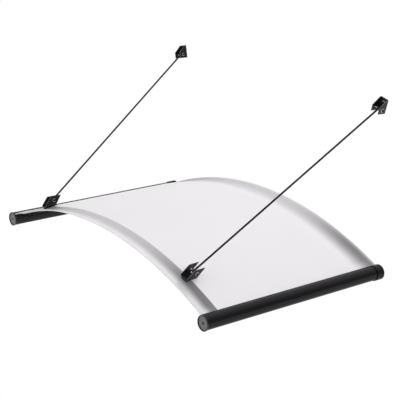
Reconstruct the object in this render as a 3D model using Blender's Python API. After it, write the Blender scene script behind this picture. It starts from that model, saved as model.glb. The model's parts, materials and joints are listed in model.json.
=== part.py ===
"""Arched acrylic door canopy: a sheet between two side tubes, held up by two tie rods from the wall.

Metres, +Z up. The origin lies on the wall, midway between the side tubes and level with their axes.
X runs along the wall, the canopy reaches out to -Y, and the wall would be the plane Y = 0.
"""

import math

import bmesh
import bpy
from mathutils import Matrix, Vector

# Overall
TUBE_SPACING = 1.440
PROJECTION = 0.953
CLEARANCE = 0.0003

# Side tubes and the slot that grips the sheet
TUBE_DIAMETER = 0.060
TUBE_WALL = 0.002
SLOT_ANGLE = math.radians(25)
SHEET_GRIP_DEPTH = 0.022
SEAL_WALL = 0.0012
SEAL_LIP = 0.003

# Acrylic sheet
CROWN_HEIGHT = 0.1825
SHEET_THICKNESS = 0.004
WALL_GAP = 0.008
FRONT_CHANNEL_DEPTH = 0.0070
FRONT_CHANNEL_FALL = 0.032
FRONT_CHANNEL_RISE = 0.048
BACK_CHANNEL_DEPTH = 0.0080
BACK_CHANNEL_FALL = 0.080
BACK_CHANNEL_RISE = 0.080
CREST_PHASE = 0.8
CHANNEL_END_GAP = 0.012
CHANNEL_FADE = 0.032

# Front caps
CAP_OVERHANG = 0.002
CAP_THICKNESS = 0.0045
CAP_RIM_WIDTH = 0.003
CAP_RIM_HEIGHT = 0.0008
CAP_SPIGOT_WALL = 0.003
CAP_SPIGOT_DEPTH = 0.008
CAP_SCREW_DIAMETER = 0.005
CAP_SCREW_HEAD = 0.0110
CAP_SCREW_LENGTH = 0.030
CAP_SCREW_RECESS = 0.0030

# Nut blocks inside the front ends of the tubes
INSERT_LENGTH = 0.020
INSERT_SETBACK = 0.004
INSERT_TOP = 0.010

# Wall sockets that the tubes slide into
SOCKET_WALL = 0.0027
SOCKET_BASE = 0.005
SOCKET_LENGTH = 0.038
SOCKET_SCREW_INSET = 0.017

# Wall screws: shanks that reach into the anchors behind the wall face
ANCHOR_REACH = 0.016
SOCKET_SCREW_DIAMETER = 0.006
SOCKET_SCREW_HEAD = 0.0125
BRACKET_SCREW_DIAMETER = 0.006
BRACKET_SCREW_HEAD = 0.0105
BRACKET_SCREW_HEIGHT = 0.0035
WASHER_DIAMETER = 0.016
WASHER_THICKNESS = 0.0014

# Tapping screws that lock each tube to its socket and its nut block
TAPPING_DIAMETER = 0.004
TAPPING_LENGTH = 0.010
TAPPING_HEAD = 0.008
TAPPING_HEAD_HEIGHT = 0.0024

# Folded steel brackets, measured from the pin: along the base towards the rod, and up from the base
PLATE = 0.0025
BRACKET_WIDTH = 0.042
FOLD_RADIUS = 0.0035
EAR_CORNER = 0.0016
PIN_HEIGHT = 0.0245
BASE_FRONT = -0.044
EAR_FRONT_HEIGHT = 0.009
EAR_SHOULDER = -0.012
EAR_HEIGHT = 0.044
SCREW_SETBACK = -0.024
CANOPY_BASE_REAR = 0.004
CANOPY_EAR_TIP = 0.038
WALL_BASE_REAR = 0.017
WALL_EAR_TIP = 0.015

# Where the brackets stand, in from the tube axes, back from the sheet's front edge, and up the wall
FOOT_INSET = 0.200
FOOT_SETBACK = 0.0972
WALL_PIN_INSET = 0.0536
WALL_PIN_HEIGHT = 0.7015

# Rubber pads, and the bolts through the sheet
PAD_THICKNESS = 0.0020
PAD_INSET = 0.001
BOLT_DIAMETER = 0.006
BOLT_HEAD = 0.0105
BOLT_HEAD_HEIGHT = 0.0035
SEAL_WASHER_DIAMETER = 0.020
SEAL_WASHER_THICKNESS = 0.0025
BOLT_TAIL = 0.003

# Hexagon nuts
NUT_ACROSS_FLATS = 0.010
NUT_HEIGHT = 0.005
NUT_FLANGE = 0.015
NUT_FLANGE_HEIGHT = 0.0012

# Cross pins and tie rods
PIN_DIAMETER = 0.006
PIN_HEAD = 0.017
PIN_HEAD_HEIGHT = 0.0032
PIN_DISH = 0.011
PIN_DISH_DEPTH = 0.0014
PIN_SOCKET = 0.0055
PIN_TAIL = 0.002
ROD_DIAMETER = 0.007
EYE_DIAMETER = 0.014
EYE_WIDTH = 0.008

# Shares of a screw's own radius, height or depth that shape its tip, crown and socket
SCREW_TIP = 0.7
PAN_CROWN = 0.6
BUTTON_SHOULDER = 0.25
BUTTON_CURVE = (0.86, 0.7)
BUTTON_CROWN = 0.58
BUTTON_SOCKET = 0.64
BUTTON_SOCKET_FLOOR = 0.35
COUNTERSUNK_SOCKET = 0.4
COUNTERSUNK_SOCKET_DEPTH = 0.8
EYE_OVERLAP = 0.35

# Facets
ROUND = 24
FINE_ROUND = 32
SMALL_ROUND = 12
ARCH_COLUMNS = 28
FADE_COLUMNS = 4

# Worked out from the sizes above
TUBE_X = TUBE_SPACING / 2
TUBE_RADIUS = TUBE_DIAMETER / 2
TUBE_BORE = TUBE_RADIUS - TUBE_WALL
TUBE_FRONT = -PROJECTION + CAP_THICKNESS + CLEARANCE
TUBE_BACK = -SOCKET_BASE - CLEARANCE
ENTRY_X = TUBE_X - TUBE_RADIUS * math.sin(SLOT_ANGLE)
ENTRY_DROP = CROWN_HEIGHT - TUBE_RADIUS * math.cos(SLOT_ANGLE)
ARCH_RADIUS = (ENTRY_X**2 + ENTRY_DROP**2) / (2 * ENTRY_DROP)
ARCH_CENTRE = Vector((0, 0, CROWN_HEIGHT - ARCH_RADIUS))
ENTRY_ANGLE = math.asin(ENTRY_X / ARCH_RADIUS)
SHEET_END_ANGLE = ENTRY_ANGLE + SHEET_GRIP_DEPTH / ARCH_RADIUS
SHEET_FRONT = TUBE_FRONT
SHEET_BACK = -WALL_GAP
CREST_Y = SHEET_FRONT + FRONT_CHANNEL_FALL + FRONT_CHANNEL_RISE
FOOT_X = TUBE_X - FOOT_INSET
FOOT_Y = SHEET_FRONT + FOOT_SETBACK
WALL_PIN_X = TUBE_X - WALL_PIN_INSET
INSERT_FRONT = TUBE_FRONT + CAP_SPIGOT_DEPTH + INSERT_SETBACK
INSERT_SCREW_Y = INSERT_FRONT + INSERT_LENGTH / 2
SOCKET_SCREW_Y = -SOCKET_LENGTH + SOCKET_SCREW_INSET
SOCKET_BORE = TUBE_RADIUS + CLEARANCE
SOCKET_RADIUS = SOCKET_BORE + SOCKET_WALL
SLOT_MARGIN = SEAL_WALL + 2 * CLEARANCE
THROUGH = 0.010
HOLE_SLACK = 2 * CLEARANCE


def linear(value):
    """One sRGB channel, 0 to 1, as the linear value that a shader takes."""
    return value / 12.92 if value <= 0.04045 else ((value + 0.055) / 1.055) ** 2.4


def material(name, colour, roughness, metallic=0.0, alpha=1.0):
    """A Principled material from an sRGB hex colour such as 1C1C1E."""
    made = bpy.data.materials.new(name)
    made.use_nodes = True
    shader = made.node_tree.nodes["Principled BSDF"]
    channels = [linear(int(colour[i : i + 2], 16) / 255) for i in (0, 2, 4)]
    shader.inputs["Base Color"].default_value = (*channels, 1.0)
    shader.inputs["Roughness"].default_value = roughness
    shader.inputs["Metallic"].default_value = metallic
    shader.inputs["Alpha"].default_value = alpha
    made.diffuse_color = (*channels, 1.0)
    return made


def place(name, bm, finish, frame=None, smooth=35):
    """Turns a bmesh into an object that stands in the given frame."""
    bmesh.ops.recalc_face_normals(bm, faces=bm.faces)
    mesh = bpy.data.meshes.new(name)
    bm.to_mesh(mesh)
    bm.free()
    mesh.shade_smooth()
    mesh.set_sharp_from_angle(angle=math.radians(smooth))
    made = bpy.data.objects.new(name, mesh)
    bpy.context.scene.collection.objects.link(made)
    made.matrix_world = frame or Matrix()
    if finish:
        mesh.materials.append(finish)
    return made


def combine(target, tool, operation):
    """Joins or cuts target with tool, which then stays as a hidden guide."""
    tool.hide_render = True
    tool.display_type = "WIRE"
    tool.name = target.name + "_" + operation.lower() + "_guide"
    modifier = target.modifiers.new(tool.name, "BOOLEAN")
    modifier.operation = operation
    modifier.solver = "EXACT"
    modifier.object = tool


def cut(target, tool):
    combine(target, tool, "DIFFERENCE")


def join(target, tool):
    combine(target, tool, "UNION")


def prism(outline, low, high, across="XZ"):
    """A closed outline extruded along the third axis from low to high."""
    first, second = ("XYZ".index(letter) for letter in across)
    third = 3 - first - second
    bm = bmesh.new()
    corners = []
    for a, b in outline:
        corner = [0.0, 0.0, 0.0]
        corner[first], corner[second], corner[third] = a, b, low
        corners.append(bm.verts.new(corner))
    bm.faces.new(corners)
    shift = Vector((0, 0, 0))
    shift[third] = high - low
    moved = bmesh.ops.extrude_face_region(bm, geom=bm.faces[:])["geom"]
    bmesh.ops.translate(bm, vec=shift, verts=[v for v in moved if isinstance(v, bmesh.types.BMVert)])
    bmesh.ops.triangulate(bm, faces=[face for face in bm.faces if len(face.verts) > 4])
    return bm


def ring_radius(radius, angle, sides):
    """Radius at an angle: a circle, or the flat of a regular polygon whose apothem is radius."""
    if not sides:
        return radius
    sector = 2 * math.pi / sides
    return radius / math.cos((angle + sector / 2) % sector - sector / 2)


def turned(profile, steps=SMALL_ROUND, hollow=False):
    """A solid turned about local Z from (radius, height) or (apothem, height, sides) points."""
    bm = bmesh.new()
    rings = []
    for radius, height, *shape in profile:
        sides = shape[0] if shape else 0
        if radius == 0:
            rings.append([bm.verts.new((0, 0, height))] * steps)
            continue
        ring = []
        for step in range(steps):
            angle = 2 * math.pi * step / steps
            reach = ring_radius(radius, angle, sides)
            ring.append(bm.verts.new((reach * math.cos(angle), reach * math.sin(angle), height)))
        rings.append(ring)
    followers = rings[1:] + rings[:1] if hollow else rings[1:]
    for ring, after in zip(rings, followers):
        for step in range(steps):
            corners = [ring[step], ring[step - 1], after[step - 1], after[step]]
            bm.faces.new(list(dict.fromkeys(corners)))
    return bm


def rod_shape(diameter, low, high, steps=SMALL_ROUND):
    """A plain cylinder about local Z."""
    radius = diameter / 2
    return turned([(0, low), (radius, low), (radius, high), (0, high)], steps)


def rounded(corners, radius, steps=3):
    """The outline with each corner replaced by an arc of the given radius."""
    outline = []
    count = len(corners)
    for index in range(count):
        here = Vector(corners[index])
        to_last = (Vector(corners[index - 1]) - here).normalized()
        to_next = (Vector(corners[(index + 1) % count]) - here).normalized()
        half = to_last.angle(to_next) / 2
        middle = here + (to_last + to_next).normalized() * radius / math.sin(half)
        start = here + to_last * radius / math.tan(half) - middle
        end = here + to_next * radius / math.tan(half) - middle
        turn = start.angle_signed(end)
        for step in range(steps + 1):
            angle = -turn * step / steps
            cosine = math.cos(angle)
            sine = math.sin(angle)
            arm = (start.x * cosine - start.y * sine, start.x * sine + start.y * cosine)
            outline.append(middle + Vector(arm))
    return outline


def along_y(frame_origin):
    """A frame whose local Z points out from the wall, along -Y."""
    return Matrix.Translation(frame_origin) @ Matrix.Rotation(math.pi / 2, 4, "X")


def channel_depth(y):
    """How far the formed rain channels sink the sheet at this distance from the wall."""
    depth = 0.0
    back_start = SHEET_BACK - BACK_CHANNEL_RISE - BACK_CHANNEL_FALL
    spans = (
        (SHEET_FRONT, FRONT_CHANNEL_FALL, FRONT_CHANNEL_RISE, FRONT_CHANNEL_DEPTH),
        (back_start, BACK_CHANNEL_FALL, BACK_CHANNEL_RISE, BACK_CHANNEL_DEPTH),
    )
    for start, fall, rise, deepest in spans:
        into = y - start
        if 0 < into <= fall:
            depth += deepest * (1 - math.cos(math.pi * into / fall)) / 2
        elif fall < into < fall + rise:
            climbed = 1 - math.cos(CREST_PHASE * math.pi * (into - fall) / rise)
            depth += deepest * (1 - climbed / (1 - math.cos(CREST_PHASE * math.pi)))
    return depth


def channel_strength(angle):
    """1 across the sheet, easing to 0 before the sheet enters its tubes."""
    left = (ENTRY_ANGLE - abs(angle)) * ARCH_RADIUS - CHANNEL_END_GAP
    share = min(max(left / CHANNEL_FADE, 0.0), 1.0)
    return share * share * (3 - 2 * share)


def sheet_point(angle, y, lift=0.0):
    """A point at a height over the sheet's top face, measured along the arch's radius."""
    reach = ARCH_RADIUS + lift - channel_depth(y) * channel_strength(angle)
    return ARCH_CENTRE + Vector((reach * math.sin(angle), y, reach * math.cos(angle)))


def lift_over_sheet(point):
    """How far a point lies above the sheet's top face."""
    offset = point - ARCH_CENTRE
    angle = math.atan2(offset.x, offset.z)
    reach = math.hypot(offset.x, offset.z)
    return reach - ARCH_RADIUS + channel_depth(point.y) * channel_strength(angle)


def steps_between(low, high, count):
    return [low + (high - low) * step / count for step in range(count)]


def arch_angles():
    """Columns of the sheet from tube to tube, closer where the channels fade out."""
    fade_end = ENTRY_ANGLE - CHANNEL_END_GAP / ARCH_RADIUS
    fade_start = fade_end - CHANNEL_FADE / ARCH_RADIUS
    half = steps_between(0, fade_start, ARCH_COLUMNS // 2)
    half += steps_between(fade_start, fade_end, FADE_COLUMNS)
    half += [fade_end, ENTRY_ANGLE, SHEET_END_ANGLE]
    return [-angle for angle in reversed(half[1:])] + half


def sheet_rows():
    """Rows of the sheet from front to back, closer in the channels."""
    front_bottom = SHEET_FRONT + FRONT_CHANNEL_FALL
    back_bottom = SHEET_BACK - BACK_CHANNEL_RISE
    back_start = back_bottom - BACK_CHANNEL_FALL
    rows = steps_between(SHEET_FRONT, front_bottom, 3)
    rows += steps_between(front_bottom, CREST_Y, 5)
    rows += steps_between(CREST_Y, back_start, 1)
    rows += steps_between(back_start, back_bottom, 3)
    rows += steps_between(back_bottom, SHEET_BACK, 5)
    return rows + [SHEET_BACK]


def acrylic_sheet(finish, bolt_frames):
    """One sheet, cold-bent to the arch, with a formed channel along each free edge."""
    bm = bmesh.new()
    rows = sheet_rows()
    faces_up, faces_down = (
        [[bm.verts.new(sheet_point(angle, y, lift)) for y in rows] for angle in arch_angles()]
        for lift in (0, -SHEET_THICKNESS)
    )
    for skin in (faces_up, faces_down):
        for column, after in zip(skin, skin[1:]):
            for row in range(len(rows) - 1):
                bm.faces.new((column[row], after[row], after[row + 1], column[row + 1]))
    for upper, lower in ((faces_up[0], faces_down[0]), (faces_up[-1], faces_down[-1])):
        for row in range(len(rows) - 1):
            bm.faces.new((upper[row], upper[row + 1], lower[row + 1], lower[row]))
    for row in (0, -1):
        for column in range(len(faces_up) - 1):
            upper, upper_after = faces_up[column][row], faces_up[column + 1][row]
            lower, lower_after = faces_down[column][row], faces_down[column + 1][row]
            bm.faces.new((upper, upper_after, lower_after, lower))
    sheet = place("acrylic_sheet", bm, finish)
    for frame in bolt_frames:
        hole = rod_shape(BOLT_DIAMETER + HOLE_SLACK, -THROUGH, THROUGH)
        cut(sheet, place("bolt_hole", hole, None, frame))
    return sheet


def slot_crossing(radius, margin, side, upper):
    """The angle about the tube's axis where a circle meets the upper or lower face of the sheet's slot."""
    arc = ARCH_RADIUS + margin if upper else ARCH_RADIUS - SHEET_THICKNESS - margin
    to_centre = Vector((-TUBE_X, ARCH_CENTRE.z))
    distance = to_centre.length
    cosine = (distance**2 + radius**2 - arc**2) / (2 * distance * radius)
    angle = math.atan2(to_centre.y, to_centre.x) - math.acos(cosine)
    return angle if side > 0 else math.pi - angle


def slotted_ring(side, outer, inner, margin, steps=FINE_ROUND):
    """The section of a tube with the sheet's slot in it, about the tube's own axis."""
    outline = []
    for radius, forward in ((outer, True), (inner, False)):
        start = slot_crossing(radius, margin, side, True)
        end = slot_crossing(radius, margin, side, False)
        sweep = -side * (side * (start - end) % (2 * math.pi))
        arc = []
        for step in range(steps + 1):
            angle = start + sweep * step / steps
            arc.append((radius * math.cos(angle), radius * math.sin(angle)))
        outline += arc if forward else arc[::-1]
    return outline


def tube_axis(side, y=0.0):
    return Vector((side * TUBE_X, y, 0))


def tapping_hole(side, y):
    """A radial hole up into the bottom of a tube."""
    hole = rod_shape(TAPPING_DIAMETER + HOLE_SLACK, -SOCKET_RADIUS - THROUGH, -TUBE_BORE + TAPPING_LENGTH)
    return place("tapping_hole", hole, None, Matrix.Translation(tube_axis(side, y)))


def tapping_screw(name, side, y, seat, finish):
    """A pan-head tapping screw driven up into the bottom of a tube, with its head on the seat radius."""
    neck = TAPPING_DIAMETER / 2
    head = TAPPING_HEAD / 2
    under = -seat - CLEARANCE
    profile = [
        (0, under + TAPPING_LENGTH + neck),
        (neck, under + TAPPING_LENGTH),
        (neck, under),
        (head, under),
        (head, under - TAPPING_HEAD_HEIGHT / 2),
        (head * PAN_CROWN, under - TAPPING_HEAD_HEIGHT),
        (0, under - TAPPING_HEAD_HEIGHT),
    ]
    return place(name, turned(profile, SMALL_ROUND), finish, Matrix.Translation(tube_axis(side, y)))


def side_tube(name, side, finish):
    section = slotted_ring(side, TUBE_RADIUS, TUBE_BORE, SLOT_MARGIN)
    tube = place(name, prism(section, TUBE_FRONT, TUBE_BACK), finish, Matrix.Translation(tube_axis(side)))
    for y in (INSERT_SCREW_Y, SOCKET_SCREW_Y):
        cut(tube, tapping_hole(side, y))
    return tube


def slot_seal(name, side, finish):
    """A soft U profile pushed over the sheet's edge, which the tube's slot squeezes."""
    lip = ENTRY_ANGLE - SEAL_LIP / ARCH_RADIUS
    inner_end = SHEET_END_ANGLE + CLEARANCE / ARCH_RADIUS
    outer_end = inner_end + SEAL_WALL / ARCH_RADIUS
    top = ARCH_RADIUS + CLEARANCE
    bottom = ARCH_RADIUS - SHEET_THICKNESS - CLEARANCE
    path = [
        (top + SEAL_WALL, lip),
        (top + SEAL_WALL, outer_end),
        (bottom - SEAL_WALL, outer_end),
        (bottom - SEAL_WALL, lip),
        (bottom, lip),
        (bottom, inner_end),
        (top, inner_end),
        (top, lip),
    ]
    outline = [
        (side * reach * math.sin(angle), ARCH_CENTRE.z + reach * math.cos(angle)) for reach, angle in path
    ]
    return place(name, prism(outline, SHEET_FRONT, SHEET_BACK), finish)


def front_cap(name, side, finish):
    """A moulded end cap with a raised rim, a countersunk hole and a spigot inside the tube."""
    outer = TUBE_RADIUS + CAP_OVERHANG
    rim = outer - CAP_RIM_WIDTH
    hole = CAP_SCREW_DIAMETER / 2 + CLEARANCE
    sink = CAP_SCREW_HEAD / 2 + CLEARANCE
    face = CAP_THICKNESS - CAP_RIM_HEIGHT
    profile = [
        (hole, 0),
        (outer, 0),
        (outer, CAP_THICKNESS - CAP_RIM_HEIGHT),
        (outer - CAP_RIM_HEIGHT, CAP_THICKNESS),
        (rim, CAP_THICKNESS),
        (rim - CAP_RIM_HEIGHT, face),
        (sink, face),
        (hole, face - sink + hole),
    ]
    frame = along_y(tube_axis(side, -PROJECTION + CAP_THICKNESS))
    cap = place(name, turned(profile, FINE_ROUND, hollow=True), finish, frame)
    spigot = []
    reach = TUBE_BORE - CLEARANCE
    for radius, turn in ((reach, 1), (reach - CAP_SPIGOT_WALL, -1)):
        arc = [math.pi * (1 + step / SMALL_ROUND) for step in range(SMALL_ROUND + 1)]
        spigot += [(radius * math.cos(angle), radius * math.sin(angle)) for angle in arc[::turn]]
    overlap = CAP_THICKNESS / 3
    shape = prism(spigot, TUBE_FRONT - CLEARANCE - overlap, TUBE_FRONT + CAP_SPIGOT_DEPTH)
    join(cap, place("spigot", shape, None, Matrix.Translation(tube_axis(side))))
    return cap


def cap_insert(name, side, finish):
    """A nut block under the sheet's edge, which the cap screw bites into."""
    reach = TUBE_BORE - CLEARANCE
    tilt = math.pi / 2 - side * ENTRY_ANGLE
    half = math.acos(INSERT_TOP / reach)
    sweep = 2 * (math.pi - half)
    section = []
    for step in range(ROUND + 1):
        angle = tilt + half + sweep * step / ROUND
        section.append((reach * math.cos(angle), reach * math.sin(angle)))
    shape = prism(section, INSERT_FRONT, INSERT_FRONT + INSERT_LENGTH)
    insert = place(name, shape, finish, Matrix.Translation(tube_axis(side)))
    bore = rod_shape(CAP_SCREW_DIAMETER + HOLE_SLACK, -THROUGH, INSERT_LENGTH + THROUGH)
    cut(insert, place("screw_bore", bore, None, along_y(tube_axis(side, INSERT_FRONT + INSERT_LENGTH))))
    cut(insert, tapping_hole(side, INSERT_SCREW_Y))
    return insert


def countersunk_screw(name, diameter, head, length, recess, frame, finish):
    """A flat-head screw: local Z points out of its head, and Z = 0 is the head's face."""
    neck = diameter / 2
    rim = head / 2
    depth = rim - neck
    profile = [
        (0, -length),
        (neck * SCREW_TIP, -length),
        (neck, -length + neck),
        (neck, -depth),
        (rim, 0),
        (recess, 0, 6),
        (recess, -depth * COUNTERSUNK_SOCKET_DEPTH, 6),
        (0, -depth * COUNTERSUNK_SOCKET_DEPTH),
    ]
    return place(name, turned(profile), finish, frame)


def cap_screw(name, side, finish):
    face = along_y(tube_axis(side, -PROJECTION + CAP_RIM_HEIGHT))
    recess = CAP_SCREW_RECESS / 2
    return countersunk_screw(
        name, CAP_SCREW_DIAMETER, CAP_SCREW_HEAD, CAP_SCREW_LENGTH, recess, face, finish
    )


def wall_socket(name, side, finish):
    """A round base with a slotted collar that the tube slides into."""
    hole = SOCKET_SCREW_DIAMETER / 2 + CLEARANCE
    sink = SOCKET_SCREW_HEAD / 2 + CLEARANCE
    profile = [
        (hole, 0),
        (SOCKET_RADIUS, 0),
        (SOCKET_RADIUS, SOCKET_BASE),
        (sink, SOCKET_BASE),
        (hole, SOCKET_BASE - sink + hole),
    ]
    socket = place(name, turned(profile, FINE_ROUND, hollow=True), finish, along_y(tube_axis(side)))
    section = slotted_ring(side, SOCKET_RADIUS, SOCKET_BORE, SLOT_MARGIN + CLEARANCE)
    overlap = SOCKET_BASE / 2
    collar = prism(section, -SOCKET_LENGTH, -overlap)
    join(socket, place("collar", collar, None, Matrix.Translation(tube_axis(side))))
    cut(socket, tapping_hole(side, SOCKET_SCREW_Y))
    return socket


def socket_wall_screw(name, side, finish):
    face = along_y(tube_axis(side, -SOCKET_BASE))
    length = SOCKET_BASE + ANCHOR_REACH
    recess = SOCKET_SCREW_HEAD / 2 * COUNTERSUNK_SOCKET
    return countersunk_screw(name, SOCKET_SCREW_DIAMETER, SOCKET_SCREW_HEAD, length, recess, face, finish)


def frame_from(origin, along, normal):
    """Local X runs along, local Z is the normal, and local Y is the cross pin's axis."""
    across = normal.cross(along).normalized()
    matrix = Matrix((along, across, normal)).transposed().to_4x4()
    matrix.translation = origin
    return matrix


def mirrored(point, side):
    return Vector((side * point.x, point.y, point.z))


def pin_centres(side):
    """The lower and upper pin centres of one tie rod."""
    angle = math.asin(FOOT_X / ARCH_RADIUS)
    lift = PAD_THICKNESS + 2 * CLEARANCE + PIN_HEIGHT
    lower = sheet_point(angle, FOOT_Y, lift)
    upper = Vector((WALL_PIN_X, -PIN_HEIGHT, WALL_PIN_HEIGHT))
    return mirrored(lower, side), mirrored(upper, side)


def bracket_frames(side):
    """Frames at the lower and upper pins, with their bases on the sheet and on the wall."""
    lower, upper = pin_centres(side)
    reach = (upper - lower).normalized()
    sheet_normal = (lower - ARCH_CENTRE) * Vector((1, 0, 1))
    sheet_normal.normalize()
    wall_normal = Vector((0, -1, 0))
    along_sheet = (reach - reach.dot(sheet_normal) * sheet_normal).normalized()
    along_wall = (reach.dot(wall_normal) * wall_normal - reach).normalized()
    return frame_from(lower, along_sheet, sheet_normal), frame_from(upper, along_wall, wall_normal)


def bracket(name, base_rear, ear_tip, screw_diameter, frame, finish):
    """A folded channel whose side walls are trimmed to a pair of raked ears."""
    half = BRACKET_WIDTH / 2
    base = -PIN_HEIGHT
    top = base + EAR_HEIGHT
    inside = half - PLATE
    outside = [(half, base), (-half, base), (-half, top + THROUGH), (half, top + THROUGH)]
    channel = prism(rounded(outside, FOLD_RADIUS), BASE_FRONT - THROUGH, ear_tip + THROUGH, "YZ")
    body = place(name, channel, finish, frame)
    floor = base + PLATE
    over = top + 2 * THROUGH
    hollow = [(inside, floor), (-inside, floor), (-inside, over), (inside, over)]
    inner_fold = rounded(hollow, FOLD_RADIUS - PLATE)
    tool = prism(inner_fold, BASE_FRONT - 2 * THROUGH, ear_tip + 2 * THROUGH, "YZ")
    cut(body, place("hollow", tool, None, frame))
    ear = rounded(
        [
            (BASE_FRONT, base),
            (base_rear, base),
            (ear_tip, top),
            (EAR_SHOULDER, top),
            (BASE_FRONT, base + EAR_FRONT_HEIGHT),
        ],
        EAR_CORNER,
    )
    combine(body, place("ear", prism(ear, -BRACKET_WIDTH, BRACKET_WIDTH), None, frame), "INTERSECT")
    pin_hole = rod_shape(PIN_DIAMETER + HOLE_SLACK, -BRACKET_WIDTH, BRACKET_WIDTH)
    cut(body, place("pin_hole", pin_hole, None, frame @ Matrix.Rotation(math.pi / 2, 4, "X")))
    screw_hole = rod_shape(screw_diameter + HOLE_SLACK, base - THROUGH, base + THROUGH)
    cut(body, place("screw_hole", screw_hole, None, frame @ Matrix.Translation((SCREW_SETBACK, 0, 0))))
    return body


def drop_to_sheet(point, normal, lift):
    """The point moved along the normal until it lies at a lift over the sheet's top face."""
    for _ in range(6):
        point = point - normal * (lift_over_sheet(point) - lift)
    return point


def fitted_block(name, plan, height, lift, frame, finish):
    """A block with one flat face at a local height and one face that follows the sheet at a lift.

    The plan is rings of local points from the rim inwards, the last ring being the bore's.
    """
    normal = frame.to_3x3() @ Vector((0, 0, 1))
    inverse = frame.inverted()
    bm = bmesh.new()
    flat = []
    fitted = []
    for ring in plan:
        flat.append([bm.verts.new((a, b, height)) for a, b in ring])
        worlds = [drop_to_sheet(frame @ Vector((a, b, height)), normal, lift) for a, b in ring]
        fitted.append([bm.verts.new(inverse @ world) for world in worlds])
    loops = flat + fitted[::-1]
    for loop, after in zip(loops, loops[1:] + loops[:1]):
        for step in range(len(loop)):
            bm.faces.new((loop[step - 1], loop[step], after[step], after[step - 1]))
    return place(name, bm, finish, frame)


def bolt_frame(frame):
    """The canopy bracket's bolt axis, with local Z = 0 at the underside of the bracket's base."""
    return frame @ Matrix.Translation((SCREW_SETBACK, 0, -PIN_HEIGHT))


def circle(radius, steps=SMALL_ROUND):
    return [
        (radius * math.cos(2 * math.pi * step / steps), radius * math.sin(2 * math.pi * step / steps))
        for step in range(steps)
    ]


def square_ring(low, high, half, steps=SMALL_ROUND):
    """Points round a rectangle about the bolt axis, one for each direction of a circle."""
    ring = []
    for x, y in circle(1.0, steps):
        reach_x = (high if x > 0 else -low) / abs(x) if abs(x) > 1e-6 else math.inf
        reach_y = half / abs(y) if abs(y) > 1e-6 else math.inf
        reach = min(reach_x, reach_y)
        ring.append((x * reach, y * reach))
    return ring


def bracket_pad(name, frame, finish):
    """A rubber foot, flat under the bracket and shaped below to the sheet and its front channel."""
    low = BASE_FRONT - SCREW_SETBACK + PAD_INSET
    high = CANOPY_BASE_REAR - SCREW_SETBACK - PAD_INSET
    half = BRACKET_WIDTH / 2 - FOLD_RADIUS
    bore = BOLT_DIAMETER / 2 + CLEARANCE
    rim = [Vector(point) for point in square_ring(low, high, half)]
    hole = [Vector(point) for point in circle(bore)]
    plan = [[near.lerp(far, share) for near, far in zip(hole, rim)] for share in (1, 0.7, 0.4, 0)]
    return fitted_block(name, plan, -CLEARANCE, CLEARANCE, bolt_frame(frame), finish)


def washer_seat(frame):
    """Local height of the seal washer's flat underside, clear of the sheet's underside all round."""
    axis = bolt_frame(frame)
    normal = axis.to_3x3() @ Vector((0, 0, 1))
    inverse = axis.inverted()
    lowest = 0.0
    for a, b in circle(SEAL_WASHER_DIAMETER / 2):
        under = drop_to_sheet(axis @ Vector((a, b, 0)), normal, -SHEET_THICKNESS - CLEARANCE)
        lowest = min(lowest, (inverse @ under).z)
    return lowest - SEAL_WASHER_THICKNESS


def seal_washer(name, frame, finish):
    """A soft washer under the sheet, shaped above to its underside and flat below."""
    bore = BOLT_DIAMETER / 2 + CLEARANCE
    rings = [SEAL_WASHER_DIAMETER / 2, (SEAL_WASHER_DIAMETER / 2 + bore) / 2, bore]
    plan = [circle(radius) for radius in rings]
    lift = -SHEET_THICKNESS - CLEARANCE
    return fitted_block(name, plan, washer_seat(frame), lift, bolt_frame(frame), finish)


def flange_nut(name, bore, frame, finish):
    """A hexagon nut with a round flange: local Z = 0 is its seat, and it stands up from there."""
    hole = bore / 2 + CLEARANCE
    flats = NUT_ACROSS_FLATS / 2
    profile = [
        (hole, 0),
        (NUT_FLANGE / 2, 0),
        (NUT_FLANGE / 2, NUT_FLANGE_HEIGHT / 2),
        (flats, NUT_FLANGE_HEIGHT, 6),
        (flats, NUT_HEIGHT, 6),
        (hole, NUT_HEIGHT),
    ]
    return place(name, turned(profile, hollow=True), finish, frame)


def button_screw(name, diameter, head, head_height, length, frame, finish):
    """A button-head screw: local Z = 0 is the seat of its head, and the shank runs down from there."""
    neck = diameter / 2
    rim = head / 2
    recess = neck * BUTTON_SOCKET
    profile = [
        (0, -length),
        (neck * SCREW_TIP, -length),
        (neck, -length + neck / 2),
        (neck, 0),
        (rim, 0),
        (rim, head_height * BUTTON_SHOULDER),
        (rim * BUTTON_CURVE[0], head_height * BUTTON_CURVE[1]),
        (rim * BUTTON_CROWN, head_height),
        (recess, head_height, 6),
        (recess, head_height * BUTTON_SOCKET_FLOOR, 6),
        (0, head_height * BUTTON_SOCKET_FLOOR),
    ]
    return place(name, turned(profile), finish, frame)


def bracket_bolt(name, frame, finish):
    seat = bolt_frame(frame) @ Matrix.Translation((0, 0, PLATE + CLEARANCE))
    length = PLATE + 2 * CLEARANCE - washer_seat(frame) + NUT_HEIGHT + BOLT_TAIL
    return button_screw(name, BOLT_DIAMETER, BOLT_HEAD, BOLT_HEAD_HEIGHT, length, seat, finish)


def bolt_nut(name, frame, finish):
    under = Matrix.Translation((0, 0, washer_seat(frame) - CLEARANCE)) @ Matrix.Rotation(math.pi, 4, "X")
    return flange_nut(name, BOLT_DIAMETER, bolt_frame(frame) @ under, finish)


def pin_frame(frame, side):
    """Local Z runs along the cross pin, out towards the canopy's own side."""
    axis = frame.to_3x3() @ Vector((0, 1, 0))
    outward = 1 if axis.x * side > 0 else -1
    return frame @ Matrix.Rotation(-outward * math.pi / 2, 4, "X")


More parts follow.
